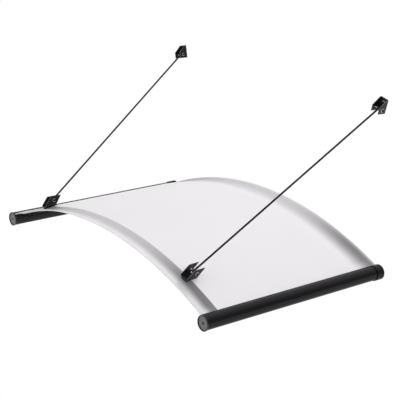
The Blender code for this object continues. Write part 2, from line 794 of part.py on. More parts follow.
def cross_pin(name, frame, side, finish):
    """A pin with a broad low head on the outer ear and a thread for its nut on the inner ear."""
    half = BRACKET_WIDTH / 2 + CLEARANCE
    neck = PIN_DIAMETER / 2
    rim = PIN_HEAD / 2
    tail = -half - NUT_HEIGHT - PIN_TAIL
    bevel = PIN_HEAD_HEIGHT / 4
    crown = half + PIN_HEAD_HEIGHT
    floor = crown - PIN_DISH_DEPTH
    profile = [
        (0, tail),
        (neck * SCREW_TIP, tail),
        (neck, tail + neck / 3),
        (neck, half),
        (rim, half),
        (rim, crown - bevel),
        (rim - bevel, crown),
        (PIN_DISH / 2, crown),
        (PIN_DISH / 2, floor),
        (PIN_SOCKET / 2, floor, 6),
        (PIN_SOCKET / 2, half, 6),
        (0, half),
    ]
    return place(name, turned(profile, ROUND), finish, pin_frame(frame, side))


def pin_nut(name, frame, side, finish):
    seat = Matrix.Translation((0, 0, -BRACKET_WIDTH / 2 - CLEARANCE)) @ Matrix.Rotation(math.pi, 4, "X")
    return flange_nut(name, PIN_DIAMETER, pin_frame(frame, side) @ seat, finish)


def tie_rod(name, lower_frame, upper_frame, finish):
    """A steel rod with an eye at each end. Its origin is the lower pin, and local Z runs up the rod."""
    lower = lower_frame.translation
    upper = upper_frame.translation
    length = (upper - lower).length
    reach = (upper - lower).normalized()
    pin = lower_frame.to_3x3() @ Vector((0, 1, 0))
    frame = Matrix((pin, reach.cross(pin), reach)).transposed().to_4x4()
    frame.translation = lower
    inset = EYE_DIAMETER * EYE_OVERLAP
    rod = place(name, rod_shape(ROD_DIAMETER, inset, length - inset), finish, frame)
    for at in (lower_frame, upper_frame):
        axis = at @ Matrix.Rotation(math.pi / 2, 4, "X")
        join(rod, place("eye", rod_shape(EYE_DIAMETER, -EYE_WIDTH / 2, EYE_WIDTH / 2, ROUND), None, axis))
    for at in (lower_frame, upper_frame):
        axis = at @ Matrix.Rotation(math.pi / 2, 4, "X")
        cut(rod, place("bore", rod_shape(PIN_DIAMETER + HOLE_SLACK, -THROUGH, THROUGH), None, axis))
    return rod


def wall_washer(name, frame, finish):
    hole = BRACKET_SCREW_DIAMETER / 2 + CLEARANCE
    profile = [
        (hole, 0),
        (WASHER_DIAMETER / 2, 0),
        (WASHER_DIAMETER / 2, WASHER_THICKNESS),
        (hole, WASHER_THICKNESS),
    ]
    seat = frame @ Matrix.Translation((SCREW_SETBACK, 0, -PIN_HEIGHT + PLATE + CLEARANCE))
    return place(name, turned(profile, ROUND, hollow=True), finish, seat)


def wall_bracket_screw(name, frame, finish):
    stack = PLATE + WASHER_THICKNESS + 2 * CLEARANCE
    seat = frame @ Matrix.Translation((SCREW_SETBACK, 0, -PIN_HEIGHT + stack))
    length = stack + ANCHOR_REACH
    return button_screw(
        name, BRACKET_SCREW_DIAMETER, BRACKET_SCREW_HEAD, BRACKET_SCREW_HEIGHT, length, seat, finish
    )


def build():
    for stale in list(bpy.data.objects):
        bpy.data.objects.remove(stale)
    opal = material("opal_acrylic", "EDEEEF", 0.25, alpha=0.85)
    anodised = material("black_anodised_aluminium", "1C1C1E", 0.30, 0.6)
    coated = material("black_powder_coated_steel", "18181A", 0.45, 0.2)
    moulded = material("black_moulded_plastic", "343436", 0.45)
    rubber = material("black_rubber", "161616", 0.80)
    zinc = material("zinc_plated_steel", "B9BBBD", 0.30, 1.0)
    blackened = material("blackened_steel", "1E1E20", 0.40, 0.6)
    sides = (("left", -1), ("right", 1))
    frames = {name: bracket_frames(side) for name, side in sides}
    acrylic_sheet(opal, [bolt_frame(lower) for lower, _ in frames.values()])
    for name, side in sides:
        lower, upper = frames[name]
        side_tube(name + "_side_tube", side, anodised)
        slot_seal(name + "_slot_seal", side, rubber)
        front_cap(name + "_front_cap", side, moulded)
        cap_insert(name + "_cap_insert", side, zinc)
        cap_screw(name + "_cap_screw", side, blackened)
        wall_socket(name + "_wall_socket", side, anodised)
        socket_wall_screw(name + "_socket_wall_screw", side, zinc)
        tapping_screw(name + "_insert_screw", side, INSERT_SCREW_Y, TUBE_RADIUS, blackened)
        tapping_screw(name + "_socket_screw", side, SOCKET_SCREW_Y, SOCKET_RADIUS, blackened)
        bracket(name + "_canopy_bracket", CANOPY_BASE_REAR, CANOPY_EAR_TIP, BOLT_DIAMETER, lower, coated)
        bracket_pad(name + "_bracket_pad", lower, rubber)
        bracket_bolt(name + "_bracket_bolt", lower, blackened)
        seal_washer(name + "_seal_washer", lower, rubber)
        bolt_nut(name + "_bolt_nut", lower, zinc)
        cross_pin(name + "_lower_pin", lower, side, zinc)
        pin_nut(name + "_lower_pin_nut", lower, side, zinc)
        tie_rod(name + "_tie_rod", lower, upper, coated)
        bracket(name + "_wall_bracket", WALL_BASE_REAR, WALL_EAR_TIP, BRACKET_SCREW_DIAMETER, upper, coated)
        cross_pin(name + "_upper_pin", upper, side, zinc)
        pin_nut(name + "_upper_pin_nut", upper, side, zinc)
        wall_washer(name + "_wall_washer", upper, zinc)
        wall_bracket_screw(name + "_wall_bracket_screw", upper, blackened)


build()
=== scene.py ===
"""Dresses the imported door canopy: satin acrylic between black side tubes, on brackets and tie rods.

Metres, +Z up. X runs along the wall, the canopy reaches out to -Y, and the wall is the plane Y = 0.
"""

import json
import math

import bmesh
import bpy
from bpy.props import FloatProperty, FloatVectorProperty, PointerProperty
from mathutils import Matrix, Vector


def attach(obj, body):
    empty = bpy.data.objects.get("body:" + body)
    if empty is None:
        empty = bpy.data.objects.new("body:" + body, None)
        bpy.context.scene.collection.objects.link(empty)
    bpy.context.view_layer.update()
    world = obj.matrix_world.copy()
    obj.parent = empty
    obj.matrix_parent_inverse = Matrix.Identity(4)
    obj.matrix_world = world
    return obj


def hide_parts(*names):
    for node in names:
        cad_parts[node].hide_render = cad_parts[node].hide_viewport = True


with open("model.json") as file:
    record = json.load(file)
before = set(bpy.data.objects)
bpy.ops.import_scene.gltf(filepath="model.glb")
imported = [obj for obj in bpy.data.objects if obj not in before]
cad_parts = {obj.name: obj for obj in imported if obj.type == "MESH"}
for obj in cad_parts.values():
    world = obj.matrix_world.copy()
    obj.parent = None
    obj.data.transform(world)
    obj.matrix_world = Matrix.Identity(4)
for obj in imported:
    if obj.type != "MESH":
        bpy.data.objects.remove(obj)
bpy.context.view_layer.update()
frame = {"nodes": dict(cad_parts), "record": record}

bl_info = {
    "name": "Door canopy",
    "version": (1, 0),
    "blender": (4, 5, 0),
    "location": "3D View > Sidebar > Canopy",
    "description": "Builds an arched acrylic door canopy on two tie rods",
    "category": "Add Mesh",
}

BODY_OF = {
    node: body for body, nodes in frame["record"]["behaviour"]["bodies"].items() for node in nodes
}
SIDES = (("left", -1), ("right", 1))

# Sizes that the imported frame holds, in metres or as shares of another size
TUBE_SPACING = 1.440
PROJECTION = 0.953
CLEARANCE = 0.0003
TUBE_RADIUS = 0.030
SLOT_ANGLE = math.radians(25)
SHEET_GRIP_DEPTH = 0.022
SEAL_LIP = 0.003
CROWN_HEIGHT = 0.1825
WALL_GAP = 0.008
FRONT_CHANNEL_FALL = 0.032
FRONT_CHANNEL_RISE = 0.048
BACK_CHANNEL_FALL = 0.080
BACK_CHANNEL_RISE = 0.080
CREST_PHASE = 0.8
CHANNEL_END_GAP = 0.012
CHANNEL_FADE = 0.032
CAP_THICKNESS = 0.0045
CAP_SCREW_LENGTH = 0.030
INSERT_LENGTH = 0.020
INSERT_SETBACK = 0.004
CAP_SPIGOT_WALL = 0.003
CAP_SPIGOT_DEPTH = 0.008
CAP_SCREW_RECESS = 0.0030
SOCKET_BASE = 0.005
SOCKET_LENGTH = 0.038
SOCKET_SCREW_INSET = 0.017
SOCKET_SCREW_HEAD = 0.0125
TAPPING_DIAMETER = 0.004
TAPPING_LENGTH = 0.010
TAPPING_HEAD = 0.008
TAPPING_HEAD_HEIGHT = 0.0024
ANCHOR_REACH = 0.016
BASE_FRONT = -0.044
EAR_FRONT_HEIGHT = 0.009
EAR_SHOULDER = -0.012
EAR_HEIGHT = 0.044
PIN_HEIGHT = 0.0245
SCREW_SETBACK = -0.024
CANOPY_BASE_REAR = 0.004
CANOPY_EAR_TIP = 0.038
WALL_BASE_REAR = 0.017
WALL_EAR_TIP = 0.015
FOOT_INSET = 0.200
FOOT_SETBACK = 0.0972
WALL_PIN_INSET = 0.0536
WALL_PIN_HEIGHT = 0.7015
PAD_THICKNESS = 0.0020
PAD_INSET = 0.001
BOLT_DIAMETER = 0.006
BOLT_TAIL = 0.003
BUTTON_HEIGHT = 0.0035
SEAL_WASHER_DIAMETER = 0.020
SEAL_WASHER_THICKNESS = 0.0025
WASHER_THICKNESS = 0.0014
NUT_HEIGHT = 0.005
NUT_FLANGE_HEIGHT = 0.0012
PIN_DIAMETER = 0.006
PIN_HEAD_HEIGHT = 0.0032
PIN_DISH_DEPTH = 0.0014
PIN_SOCKET = 0.0055
PIN_TAIL = 0.002
EYE_WIDTH = 0.008
EYE_OVERLAP = 0.35

# Places worked out from them
TUBE_X = TUBE_SPACING / 2
TUBE_FRONT = -PROJECTION + CAP_THICKNESS + CLEARANCE
TUBE_BACK = -SOCKET_BASE - CLEARANCE
ENTRY_X = TUBE_X - TUBE_RADIUS * math.sin(SLOT_ANGLE)
ENTRY_DROP = CROWN_HEIGHT - TUBE_RADIUS * math.cos(SLOT_ANGLE)
ARCH_RADIUS = (ENTRY_X**2 + ENTRY_DROP**2) / (2 * ENTRY_DROP)
ARCH_CENTRE = Vector((0, 0, CROWN_HEIGHT - ARCH_RADIUS))
ENTRY_ANGLE = math.asin(ENTRY_X / ARCH_RADIUS)
SHEET_END_ANGLE = ENTRY_ANGLE + SHEET_GRIP_DEPTH / ARCH_RADIUS
SHEET_FRONT = TUBE_FRONT
SHEET_BACK = -WALL_GAP
CREST_Y = SHEET_FRONT + FRONT_CHANNEL_FALL + FRONT_CHANNEL_RISE
FOOT_X = TUBE_X - FOOT_INSET
FOOT_Y = SHEET_FRONT + FOOT_SETBACK
WALL_PIN_X = TUBE_X - WALL_PIN_INSET
INSERT_SCREW_Y = TUBE_FRONT + CAP_SPIGOT_DEPTH + INSERT_SETBACK + INSERT_LENGTH / 2
SOCKET_SCREW_Y = -SOCKET_LENGTH + SOCKET_SCREW_INSET
THROUGH = 0.010
HOLE_SLACK = 2 * CLEARANCE
BOLT_BORE = BOLT_DIAMETER / 2 + CLEARANCE
QUARTER_TURN = Matrix.Rotation(math.pi / 2, 4, "X")
HALF_TURN = Matrix.Rotation(math.pi, 4, "X")

# Shade painted into the rain channels: how far in from an edge it sets in and is full, and its thinner
# shares
PAINTED_SHADE_FRONT_START = 0.018
PAINTED_SHADE_FRONT_FULL = 0.058
PAINTED_SHADE_FRONT_SHARE = 0.12
PAINTED_SHADE_CREST_EDGE = 0.001
PAINTED_SHADE_BACK_START = 0.115
PAINTED_SHADE_BACK_FULL = 0.020
PAINTED_SHADE_BACK_EDGE = 0.022
PAINTED_SHADE_BACK_SHARE = 0.6
PAINTED_SHADE_FULL_HEIGHT = 0.4 * CROWN_HEIGHT
PAINTED_SHADE_CROWN_SHARE = 0.4

# Edges: how far they are broken, eased or rounded, and the margin inside a cap's rim where its painted
# shade starts
CRISP_EDGE = 0.0002
SOFT_EDGE = 0.0003
SOCKET_EDGE = 0.0004
ROD_EDGE = 0.0005
CAP_EDGE = 0.0006
CAP_RIM_SHADE = 0.0005
PIN_HEAD_EDGE = 0.0008

# Seals, caps, screws and nuts: walls and pitches in metres, and shares of a wall, radius or height
TAPPING_PITCH = 0.0014
CAP_SCREW_PITCH = 0.0008
PIN_SOCKET_FLOOR = 0.0004
SEAL_ROUNDING = 0.3
CAP_BOSS_WALL = 0.002
CAP_DRAFT = 0.12
THREAD_DEPTH = 0.6
THREAD_FOOT = 0.97
THREAD_RISES = (0.06, 0.45, 0.55, 0.94)
BLUNT_TIP = 0.75
CAP_SCREW_TIP = 0.7
WOOD_SCREW_TIP = 0.4
SUNK_SOCKET = 0.4
SUNK_SOCKET_DEPTH = 0.8
PAN_EDGE = 0.35
PAN_CROWN = ((0.93, 0.35), (0.72, 0.1), (0.4, 0.0))
CROSS_ARM = 0.5
CROSS_SLOT = 0.13
CROSS_DEPTH = 0.55
BUTTON_SHOULDER = 0.22
BUTTON_CROWN = 0.5
BUTTON_SOCKET = 0.64
BUTTON_SOCKET_FLOOR = 0.35
NUT_CHAMFER = 0.1
NUT_FLANGE_EDGE = 0.5
NUT_FLANGE_FOOT = (1.25, 0.9)
NUT_FACE = 0.99
NUT_DARK = 1.2

# Blocks that fit the sheet: shares of the way from the bore to the rim where they have points
PAD_SHARES = (1, 0.9, 0.75, 0.6, 0.45, 0.3, 0.15, 0)
WASHER_SHARES = (1, 0.85, 0.6, 0.3, 0)
PAD_SQUARENESS = 8.0
WASHER_POINTS = 12
FIT_PASSES = 6

# Light, in degrees: azimuths run from +Y towards +X
BACKDROP_AZIMUTH = -51.0
BACKDROP_ELEVATION = 5.0
KEY_AZIMUTH = -30.0
KEY_ELEVATION = 22.0
KEY_SPREAD = 50.0

# Where the white backdrop starts and is full, as the cosine of the angle to its middle
BACKDROP_EDGE = (-0.1, 0.5)

# The floor's half width in metres, and the share of it that shows as white without shading
FLOOR_REACH = 30.0
FLOOR_GLOW = 0.97

# Camera: place in metres, azimuth, elevation and roll in degrees, and lens in millimetres
CAMERA_PLACE = (3.7585, -3.4195, 1.7474)
CAMERA_TURN = (51.29, 17.87, 1.87)
CAMERA_LENS = 102.37

# Edges that meet at more than this angle are rounded, and an eased corner takes this much of a side
ROUNDED_ANGLE = math.radians(35)
EASED_SHARE = 0.4

# A face looks along a bracket, or across it, when that part of its normal is longer than this
LOOKS_ALONG = 0.3
LOOKS_ACROSS = 0.5

# Counts of facets, and steps in metres between the rows of the sheet
ROUND = 48
FINE_ROUND = 96
FOLD_STEPS = 8
SHEET_COLUMNS = 220
CHANNEL_STEP = 0.003
FLAT_STEP = 0.09
CREST_STEP = 0.0004
THREAD_STEPS = 24
DOME_STEPS = 6
CORNER_STEPS = 4
LIP_STEPS = 3


def linear(colour):
    """An sRGB hex colour such as 1C1C1E as the linear colour that Blender takes."""
    shares = [int(colour[place : place + 2], 16) / 255 for place in (0, 2, 4)]
    return tuple(x / 12.92 if x <= 0.04045 else ((x + 0.055) / 1.055) ** 2.4 for x in shares)


def size(name, default, description):
    return FloatProperty(
        name=name, description=description, default=default, min=0.0, precision=4, unit="LENGTH"
    )


def colour(name, default, description):
    return FloatVectorProperty(
        name=name,
        description=description,
        default=linear(default),
        size=3,
        min=0.0,
        max=1.0,
        subtype="COLOR",
    )


class CanopySheetSettings(bpy.types.PropertyGroup):
    """The acrylic sheet and its two formed rain channels."""

    thickness: size("Thickness", 0.004, "Thickness of the acrylic sheet")
    front_channel: size("Front channel", 0.0070, "Depth of the channel behind the front edge")
    back_channel: size("Back channel", 0.0080, "Depth of the channel along the wall")
    arris: size("Edge arris", 0.0005, "How far the sawn and polished edges are broken")
    tint: colour("Tint", "F3F0F3", "Colour of the satin acrylic")
    # The grey that is painted into the channels as shade
    channel_painted_shade: colour("Rain film", "828084", "Colour of the film that rain leaves in the channels")


class CanopyTubeSettings(bpy.types.PropertyGroup):
    """The side tubes, their seals and their wall sockets."""

    wall: size("Tube wall", 0.002, "Wall thickness of the side tubes")
    socket_wall: size("Collar wall", 0.0027, "Wall thickness of the collar round each tube")
    seal_wall: size("Seal wall", 0.0012, "Thickness of the rubber U profile in the slot")
    finish: colour("Anodising", "29292B", "Colour of the black anodised aluminium")
    rubber: colour("Rubber", "161617", "Colour of the seals, feet and soft washers")


class CanopyCapSettings(bpy.types.PropertyGroup):
    """The front caps and the screws in their centres."""

    overhang: size("Overhang", 0.002, "How far the cap stands out past the tube")
    rim_width: size("Rim width", 0.0040, "Width of the rim round the cap's face")
    recess: size("Recess", 0.003, "Depth of the cap's face behind its rim")
    screw_diameter: size("Screw", 0.005, "Diameter of the cap screw")
    screw_head: size("Screw head", 0.011, "Diameter of the cap screw's flat head")
    finish: colour("Plastic", "57575A", "Colour of the moulded caps")
    # The rims' near black is painted shade
    rim_painted_shade: colour("Rim", "0C0C0E", "Colour of the caps' polished rims")


class CanopyBracketSettings(bpy.types.PropertyGroup):
    """The folded brackets on the sheet and on the wall."""

    plate: size("Plate", 0.0025, "Thickness of the folded steel")
    width: size("Width", 0.042, "Width over the two ears")
    fold_radius: size("Fold radius", 0.0035, "Outer radius of each fold")
    ear_corner: size("Ear corners", 0.0016, "Radius of the corners of the ears")
    edge: size("Edge rounding", 0.0004, "How far powder coat rounds the cut edges")
    tongue: size("Base tongue", 0.008, "How far the base of a foot bracket reaches past its ears")
    coating: colour("Powder coat", "131315", "Colour of the powder coat")
    # A lighter grey on the sheared edges: a painted highlight, where the coat also runs thin
    thin_coating_highlight: colour("Thin coat", "5A5A5E", "Colour of the powder coat on the sheared edges")


class CanopyFastenerSettings(bpy.types.PropertyGroup):
    """Bolts, screws, nuts and washers."""

    thread_pitch: size("Thread pitch", 0.001, "Pitch of the 6 mm threads")
    head: size("Button head", 0.0105, "Diameter of the bolt heads")
    nut: size("Nut", 0.010, "Width of the nuts across their flats")
    nut_flange: size("Nut flange", 0.015, "Diameter of the nuts' flanges")
    washer: size("Washer", 0.016, "Diameter of the wall washers")
    zinc: colour("Zinc", "D3D5D7", "Colour of zinc-plated steel")
    blackened: colour("Black oxide", "262628", "Colour of blackened steel")


class CanopyRodSettings(bpy.types.PropertyGroup):
    """The tie rods and the cross pins at their ends."""

    diameter: size("Rod", 0.0082, "Diameter of the tie rods")
    eye: size("Eye", 0.014, "Outer diameter of the rod's eyes")
    pin_head: size("Pin head", 0.017, "Diameter of the cross pins' heads")
    pin_dish: size("Pin dish", 0.0146, "Diameter of the dish in a pin's head")


class CanopyStageSettings(bpy.types.PropertyGroup):
    """Floor, studio light and camera."""

    floor_drop: size("Floor drop", 2.25, "How far the floor lies below the side tubes")
    floor: colour("Floor", "F4F4F4", "Colour of the floor")
    key: FloatProperty(name="Key light", description="Strength of the soft key light", default=1.0)
    ambient: FloatProperty(name="Fill", description="Light from all round", default=1.1)
    room: FloatProperty(name="Room", description="Light of the room that gloss mirrors", default=0.3)


def add(tree, kind, inputs=(), **settings):
    """One shader node with its settings; each input is a value, or an output socket to link."""
    made = tree.nodes.new(kind)
    for name, value in settings.items():
        setattr(made, name, value)
    for name, value in dict(inputs).items():
        if isinstance(value, bpy.types.NodeSocket):
            tree.links.new(value, made.inputs[name])
        else:
            made.inputs[name].default_value = value
    return made


def bare_tree(owner):
    """The emptied node tree of a material or a world."""
    owner.use_nodes = True
    owner.node_tree.nodes.clear()
    return owner.node_tree


def surface(name, base, inputs):
    """A material of one Principled shader, and the object coordinates for its patterns, in metres."""
    made = bpy.data.materials.get(name) or bpy.data.materials.new(name)
    tree = bare_tree(made)
    shader = add(tree, "ShaderNodeBsdfPrincipled", {"Base Color": (*base, 1.0), **inputs})
    add(tree, "ShaderNodeOutputMaterial", {"Surface": shader.outputs["BSDF"]})
    made.diffuse_color = (*base, 1.0)
    where = add(tree, "ShaderNodeTexCoord").outputs["Object"]
    return tree, shader, where


def uneven(tree, shader, where, scale, detail, roughness=(), relief=0.0):
    """A noise that varies a shader's roughness between two values and raises its face by a relief."""
    noise = add(tree, "ShaderNodeTexNoise", {"Vector": where, "Scale": scale, "Detail": detail})
    height = noise.outputs["Fac"]
    if roughness:
        low, high = roughness
        dull = add(tree, "ShaderNodeMapRange", {"Value": height, "To Min": low, "To Max": high})
        tree.links.new(dull.outputs["Result"], shader.inputs["Roughness"])
    if relief:
        bump = add(tree, "ShaderNodeBump", {"Height": height, "Distance": relief})
        tree.links.new(bump.outputs["Normal"], shader.inputs["Normal"])


def satin_acrylic(sheet):
    """Cast acrylic with a fine satin face, which blurs what it mirrors and passes soft light.

    Shade is painted grey into the two channels, darker towards their low ends near the tubes.
    """
    tree, shader, where = surface(
        "satin_cast_acrylic",
        sheet.tint,
        {"Roughness": 0.32, "IOR": 1.49, "Transmission Weight": 0.45},
    )
    place = add(tree, "ShaderNodeSeparateXYZ", {0: where}).outputs
    fades = (
        (SHEET_FRONT + PAINTED_SHADE_FRONT_START, SHEET_FRONT + PAINTED_SHADE_FRONT_FULL, PAINTED_SHADE_FRONT_SHARE, 1.0),
        (CREST_Y - PAINTED_SHADE_CREST_EDGE, CREST_Y + PAINTED_SHADE_CREST_EDGE, 1.0, 0.0),
        (SHEET_BACK - PAINTED_SHADE_BACK_START, SHEET_BACK - PAINTED_SHADE_BACK_FULL, 0.0, 1.0),
        (SHEET_BACK - PAINTED_SHADE_BACK_EDGE, SHEET_BACK, 1.0, PAINTED_SHADE_BACK_SHARE),
        (CROWN_HEIGHT, PAINTED_SHADE_FULL_HEIGHT, PAINTED_SHADE_CROWN_SHARE, 1.0),
    )
    steps = []
    for axis, fade in zip("YYYYZ", fades):
        inputs = dict(enumerate((place[axis], *fade)))
        step = add(tree, "ShaderNodeMapRange", inputs, interpolation_type="SMOOTHSTEP")
        steps.append(step.outputs[0])
    front, crest, back, edge, low = steps
    bands = [
        add(tree, "ShaderNodeMath", {0: fade, 1: stop}, operation="MULTIPLY").outputs[0]
        for fade, stop in ((front, crest), (back, edge))
    ]
    either = add(tree, "ShaderNodeMath", dict(enumerate(bands)), operation="MAXIMUM").outputs[0]
    share = add(tree, "ShaderNodeMath", {0: either, 1: low}, operation="MULTIPLY").outputs[0]
    # Painted shade: the channels' grey is mixed into the base colour by where a point lies on the
    # sheet
    clear, grey = (*sheet.tint, 1.0), (*sheet.channel_painted_shade, 1.0)
    channel_painted_shade = add(tree, "ShaderNodeMix", {0: share, 6: clear, 7: grey}, data_type="RGBA").outputs[2]
    tree.links.new(channel_painted_shade, shader.inputs["Base Color"])
    # Waves about 180 mm long, as a bent sheet has, under a satin grain drawn at 1.5 mm so it shows
    normal = {}
    for scale, detail, relief in ((5.5, 1.0, 0.0006), (650.0, 2.0, 0.00001)):
        noise = add(tree, "ShaderNodeTexNoise", {"Vector": where, "Scale": scale, "Detail": detail})
        inputs = {"Height": noise.outputs["Fac"], "Distance": relief, **normal}
        normal = {"Normal": add(tree, "ShaderNodeBump", inputs).outputs["Normal"]}
    tree.links.new(normal["Normal"], shader.inputs["Normal"])


def anodised_aluminium(base):
    """Extruded aluminium, black anodised: a satin metal with faint die lines along the tube."""
    gloss = {"Metallic": 0.85, "Roughness": 0.24, "Specular Tint": (0.65, 0.65, 0.65, 1.0)}
    tree, shader, where = surface("black_anodised_aluminium", base, gloss)
    # Die lines about 0.8 mm apart round the tube, stretched to 400 mm along it
    lines = add(tree, "ShaderNodeMapping", {"Vector": where, "Scale": (1250.0, 2.5, 1250.0)})
    uneven(tree, shader, lines.outputs["Vector"], 1.0, 2.0, (0.20, 0.28), 0.00002)


def powder_coat(name, base):
    """Polyester powder coat on steel: a dense black with the shallow orange peel of a baked coat.

    Over the sheared edges of the plate it runs thin, and its colour there is a lighter grey, a painted
    highlight that gives the brackets light outlines.
    """
    tree, shader, where = surface(name, base, {"Roughness": 0.42, "IOR": 1.45})
    # Orange peel about 1.4 mm across
    uneven(tree, shader, where, 700.0, 1.5, (0.36, 0.48), 0.00006)


def moulded_plastic(name, base):
    """Moulded ABS with a spark-eroded face: dark grey on the caps' faces, and near black where their
    rims are painted as shade.
    """
    tree, shader, where = surface(name, base, {"Roughness": 0.34, "IOR": 1.53})
    # Spark-eroded grain about 0.5 mm across
    uneven(tree, shader, where, 2000.0, 2.0, relief=0.00002)


def rubber(base):
    """Extruded and moulded EPDM rubber: matt black with a faint bloom."""
    tree, shader, where = surface("black_epdm_rubber", base, {"Roughness": 0.78, "IOR": 1.52})
    # Bloom in patches about 6 mm across
    uneven(tree, shader, where, 160.0, 3.0, (0.68, 0.88))


def zinc_plate(base):
    """Bright zinc-plated steel with slightly uneven passivation."""
    tree, shader, where = surface("zinc_plated_steel", base, {"Metallic": 0.55, "Roughness": 0.34})
    # Passivation clouds about 3 mm across
    uneven(tree, shader, where, 330.0, 3.0, (0.26, 0.42))


def black_oxide(base):
    """Blackened and oiled steel screws: dark metal."""
    tree, shader, where = surface("blackened_steel", base, {"Metallic": 0.9, "Roughness": 0.36})
    # Oil film in patches about 2 mm across
    uneven(tree, shader, where, 500.0, 2.0, (0.28, 0.44))


ACRYLIC = ("satin_cast_acrylic", "opal_acrylic")
ANODISED = ("black_anodised_aluminium", "tube_finish")
COATED = ("black_powder_coated_steel", "bracket_coating")
# Sheared bracket edges: a thin coat with a painted highlight
THIN_COAT_HIGHLIGHT = ("thin_powder_coat_on_sheared_edges", "bracket_coating")
MOULDED = ("black_moulded_abs", "moulded_black")
# Cap rims painted near black as shade
RIM_PAINTED_SHADE = ("polished_black_abs_rim", "moulded_black")
RUBBER = ("black_epdm_rubber", "black_rubber")
ZINC = ("zinc_plated_steel", "zinc")
BLACKENED = ("blackened_steel", "blackened_steel")


def solid(name, bm, placed=None):
    """Turns a bmesh into an object that stands in the given frame."""
    bmesh.ops.recalc_face_normals(bm, faces=bm.faces)
    mesh = bpy.data.meshes.new(name)
    bm.to_mesh(mesh)
    bm.free()
    mesh.shade_smooth()
    made = bpy.data.objects.new(name, mesh)
    bpy.context.scene.collection.objects.link(made)
    made.matrix_world = placed or Matrix()
    return made


def combine(target, tool, operation):
    modifier = target.modifiers.new(tool.name, "BOOLEAN")
    modifier.operation = operation
    modifier.solver = "EXACT"
    modifier.object = tool


def cut(target, tool):
    combine(target, tool, "DIFFERENCE")


def join(target, tool):
    combine(target, tool, "UNION")


def settle(piece, node, finish, rounding=0.0, smooth=50):
    """Applies a piece's cuts and joins, rounds its edges, and lets it stand for its node."""
    tools = [modifier.object for modifier in piece.modifiers]
    if rounding:
        edges = piece.modifiers.new("edges", "BEVEL")
        edges.width = rounding
        edges.segments = 2
        edges.limit_method = "ANGLE"
        edges.angle_limit = ROUNDED_ANGLE
    piece.modifiers.new("normals", "WEIGHTED_NORMAL").keep_sharp = True
    piece.data.set_sharp_from_angle(angle=math.radians(smooth))
    graph = bpy.context.evaluated_depsgraph_get()
    piece.data = bpy.data.meshes.new_from_object(piece.evaluated_get(graph), depsgraph=graph)
    piece.modifiers.clear()
    for tool in tools:
        bpy.data.objects.remove(tool)
    material, slot = finish
    piece.data.materials.clear()
    piece.data.materials.append(bpy.data.materials[material])
    piece.name = "fine_" + node
    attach(piece, BODY_OF[node])
    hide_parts(node)
    return piece


def accent(piece, finish, chosen):
    """Gives a second finish to the faces chosen by their middle and normal in the piece's frame."""
    piece.data.materials.append(bpy.data.materials[finish[0]])
    for face in piece.data.polygons:
        if chosen(face.center, face.normal):
            face.material_index = 1


def repaint(node, finish):
    """Gives a node of the frame, hidden inside others, its real finish."""
    for slot in frame["nodes"][node].material_slots:
        slot.material = bpy.data.materials[finish[0]]


def bridge(bm, rings, capped=False):
    """A wall of quads from each ring of points to the next, and a face over both ends if capped."""
    for ring, after in zip(rings, rings[1:]):
        for index in range(len(ring)):
            bm.faces.new((ring[index - 1], ring[index], after[index], after[index - 1]))
    if capped:
        bm.faces.new(rings[0])
        bm.faces.new(rings[-1])


def polar(radius, angle):
    return radius * math.cos(angle), radius * math.sin(angle)


def prism(outline, low, high, across="XZ"):
    """A closed outline extruded along the third axis from low to high."""
    first, second = ("XYZ".index(letter) for letter in across)
    third = 3 - first - second
    bm = bmesh.new()
    ends = []
    for reach in (low, high):
        corners = []
        for a, b in outline:
            corner = [0.0, 0.0, 0.0]
            corner[first], corner[second], corner[third] = a, b, reach
            corners.append(bm.verts.new(corner))
        ends.append(corners)
        bm.faces.new(corners)
    bridge(bm, ends)
    return bm


def ring_radius(radius, angle, sides):
    """Radius at an angle: a circle, or the flat of a regular polygon whose apothem is radius."""
    if not sides:
        return radius
    sector = 2 * math.pi / sides
    return radius / math.cos((angle + sector / 2) % sector - sector / 2)


def turned(profile, steps=ROUND, hollow=False):
    """A solid turned about local Z from (radius, height) or (apothem, height, sides) points."""
    bm = bmesh.new()
    rings = []
    for radius, height, *shape in profile:
        sides = shape[0] if shape else 0
        if radius == 0:
            rings.append([bm.verts.new((0, 0, height))] * steps)
            continue
        ring = []
        for step in range(steps):
            angle = 2 * math.pi * step / steps
            reach = ring_radius(radius, angle, sides)
            ring.append(bm.verts.new((*polar(reach, angle), height)))
        rings.append(ring)
    followers = rings[1:] + rings[:1] if hollow else rings[1:]
    for ring, after in zip(rings, followers):
        for step in range(steps):
            corners = [ring[step], ring[step - 1], after[step - 1], after[step]]
            bm.faces.new(list(dict.fromkeys(corners)))
    return bm


def eased(profile, radius, closed=False):
    """The profile with each plain corner eased by a small curve, as a turned or moulded edge has."""
    points = []
    count = len(profile)
    for index, point in enumerate(profile):
        if len(point) > 2 or not (closed or 0 < index < count - 1):
            points.append(point)
            continue
        here = Vector(point)
        before = Vector(profile[index - 1][:2]) - here
        after = Vector(profile[(index + 1) % count][:2]) - here
        reach = min(radius, EASED_SHARE * before.length, EASED_SHARE * after.length)
        start = here + before.normalized() * reach
        end = here + after.normalized() * reach
        points += [tuple(start), tuple((start + 2 * here + end) / 4), tuple(end)]
    return points


def rod_shape(diameter, low, high):
    radius = diameter / 2
    return turned([(0, low), (radius, low), (radius, high), (0, high)])


def drill(piece, diameter, low, high, placed):
    """Cuts a clearance hole along the local Z of a frame."""
    cut(piece, solid("hole", rod_shape(diameter + HOLE_SLACK, low, high), placed))


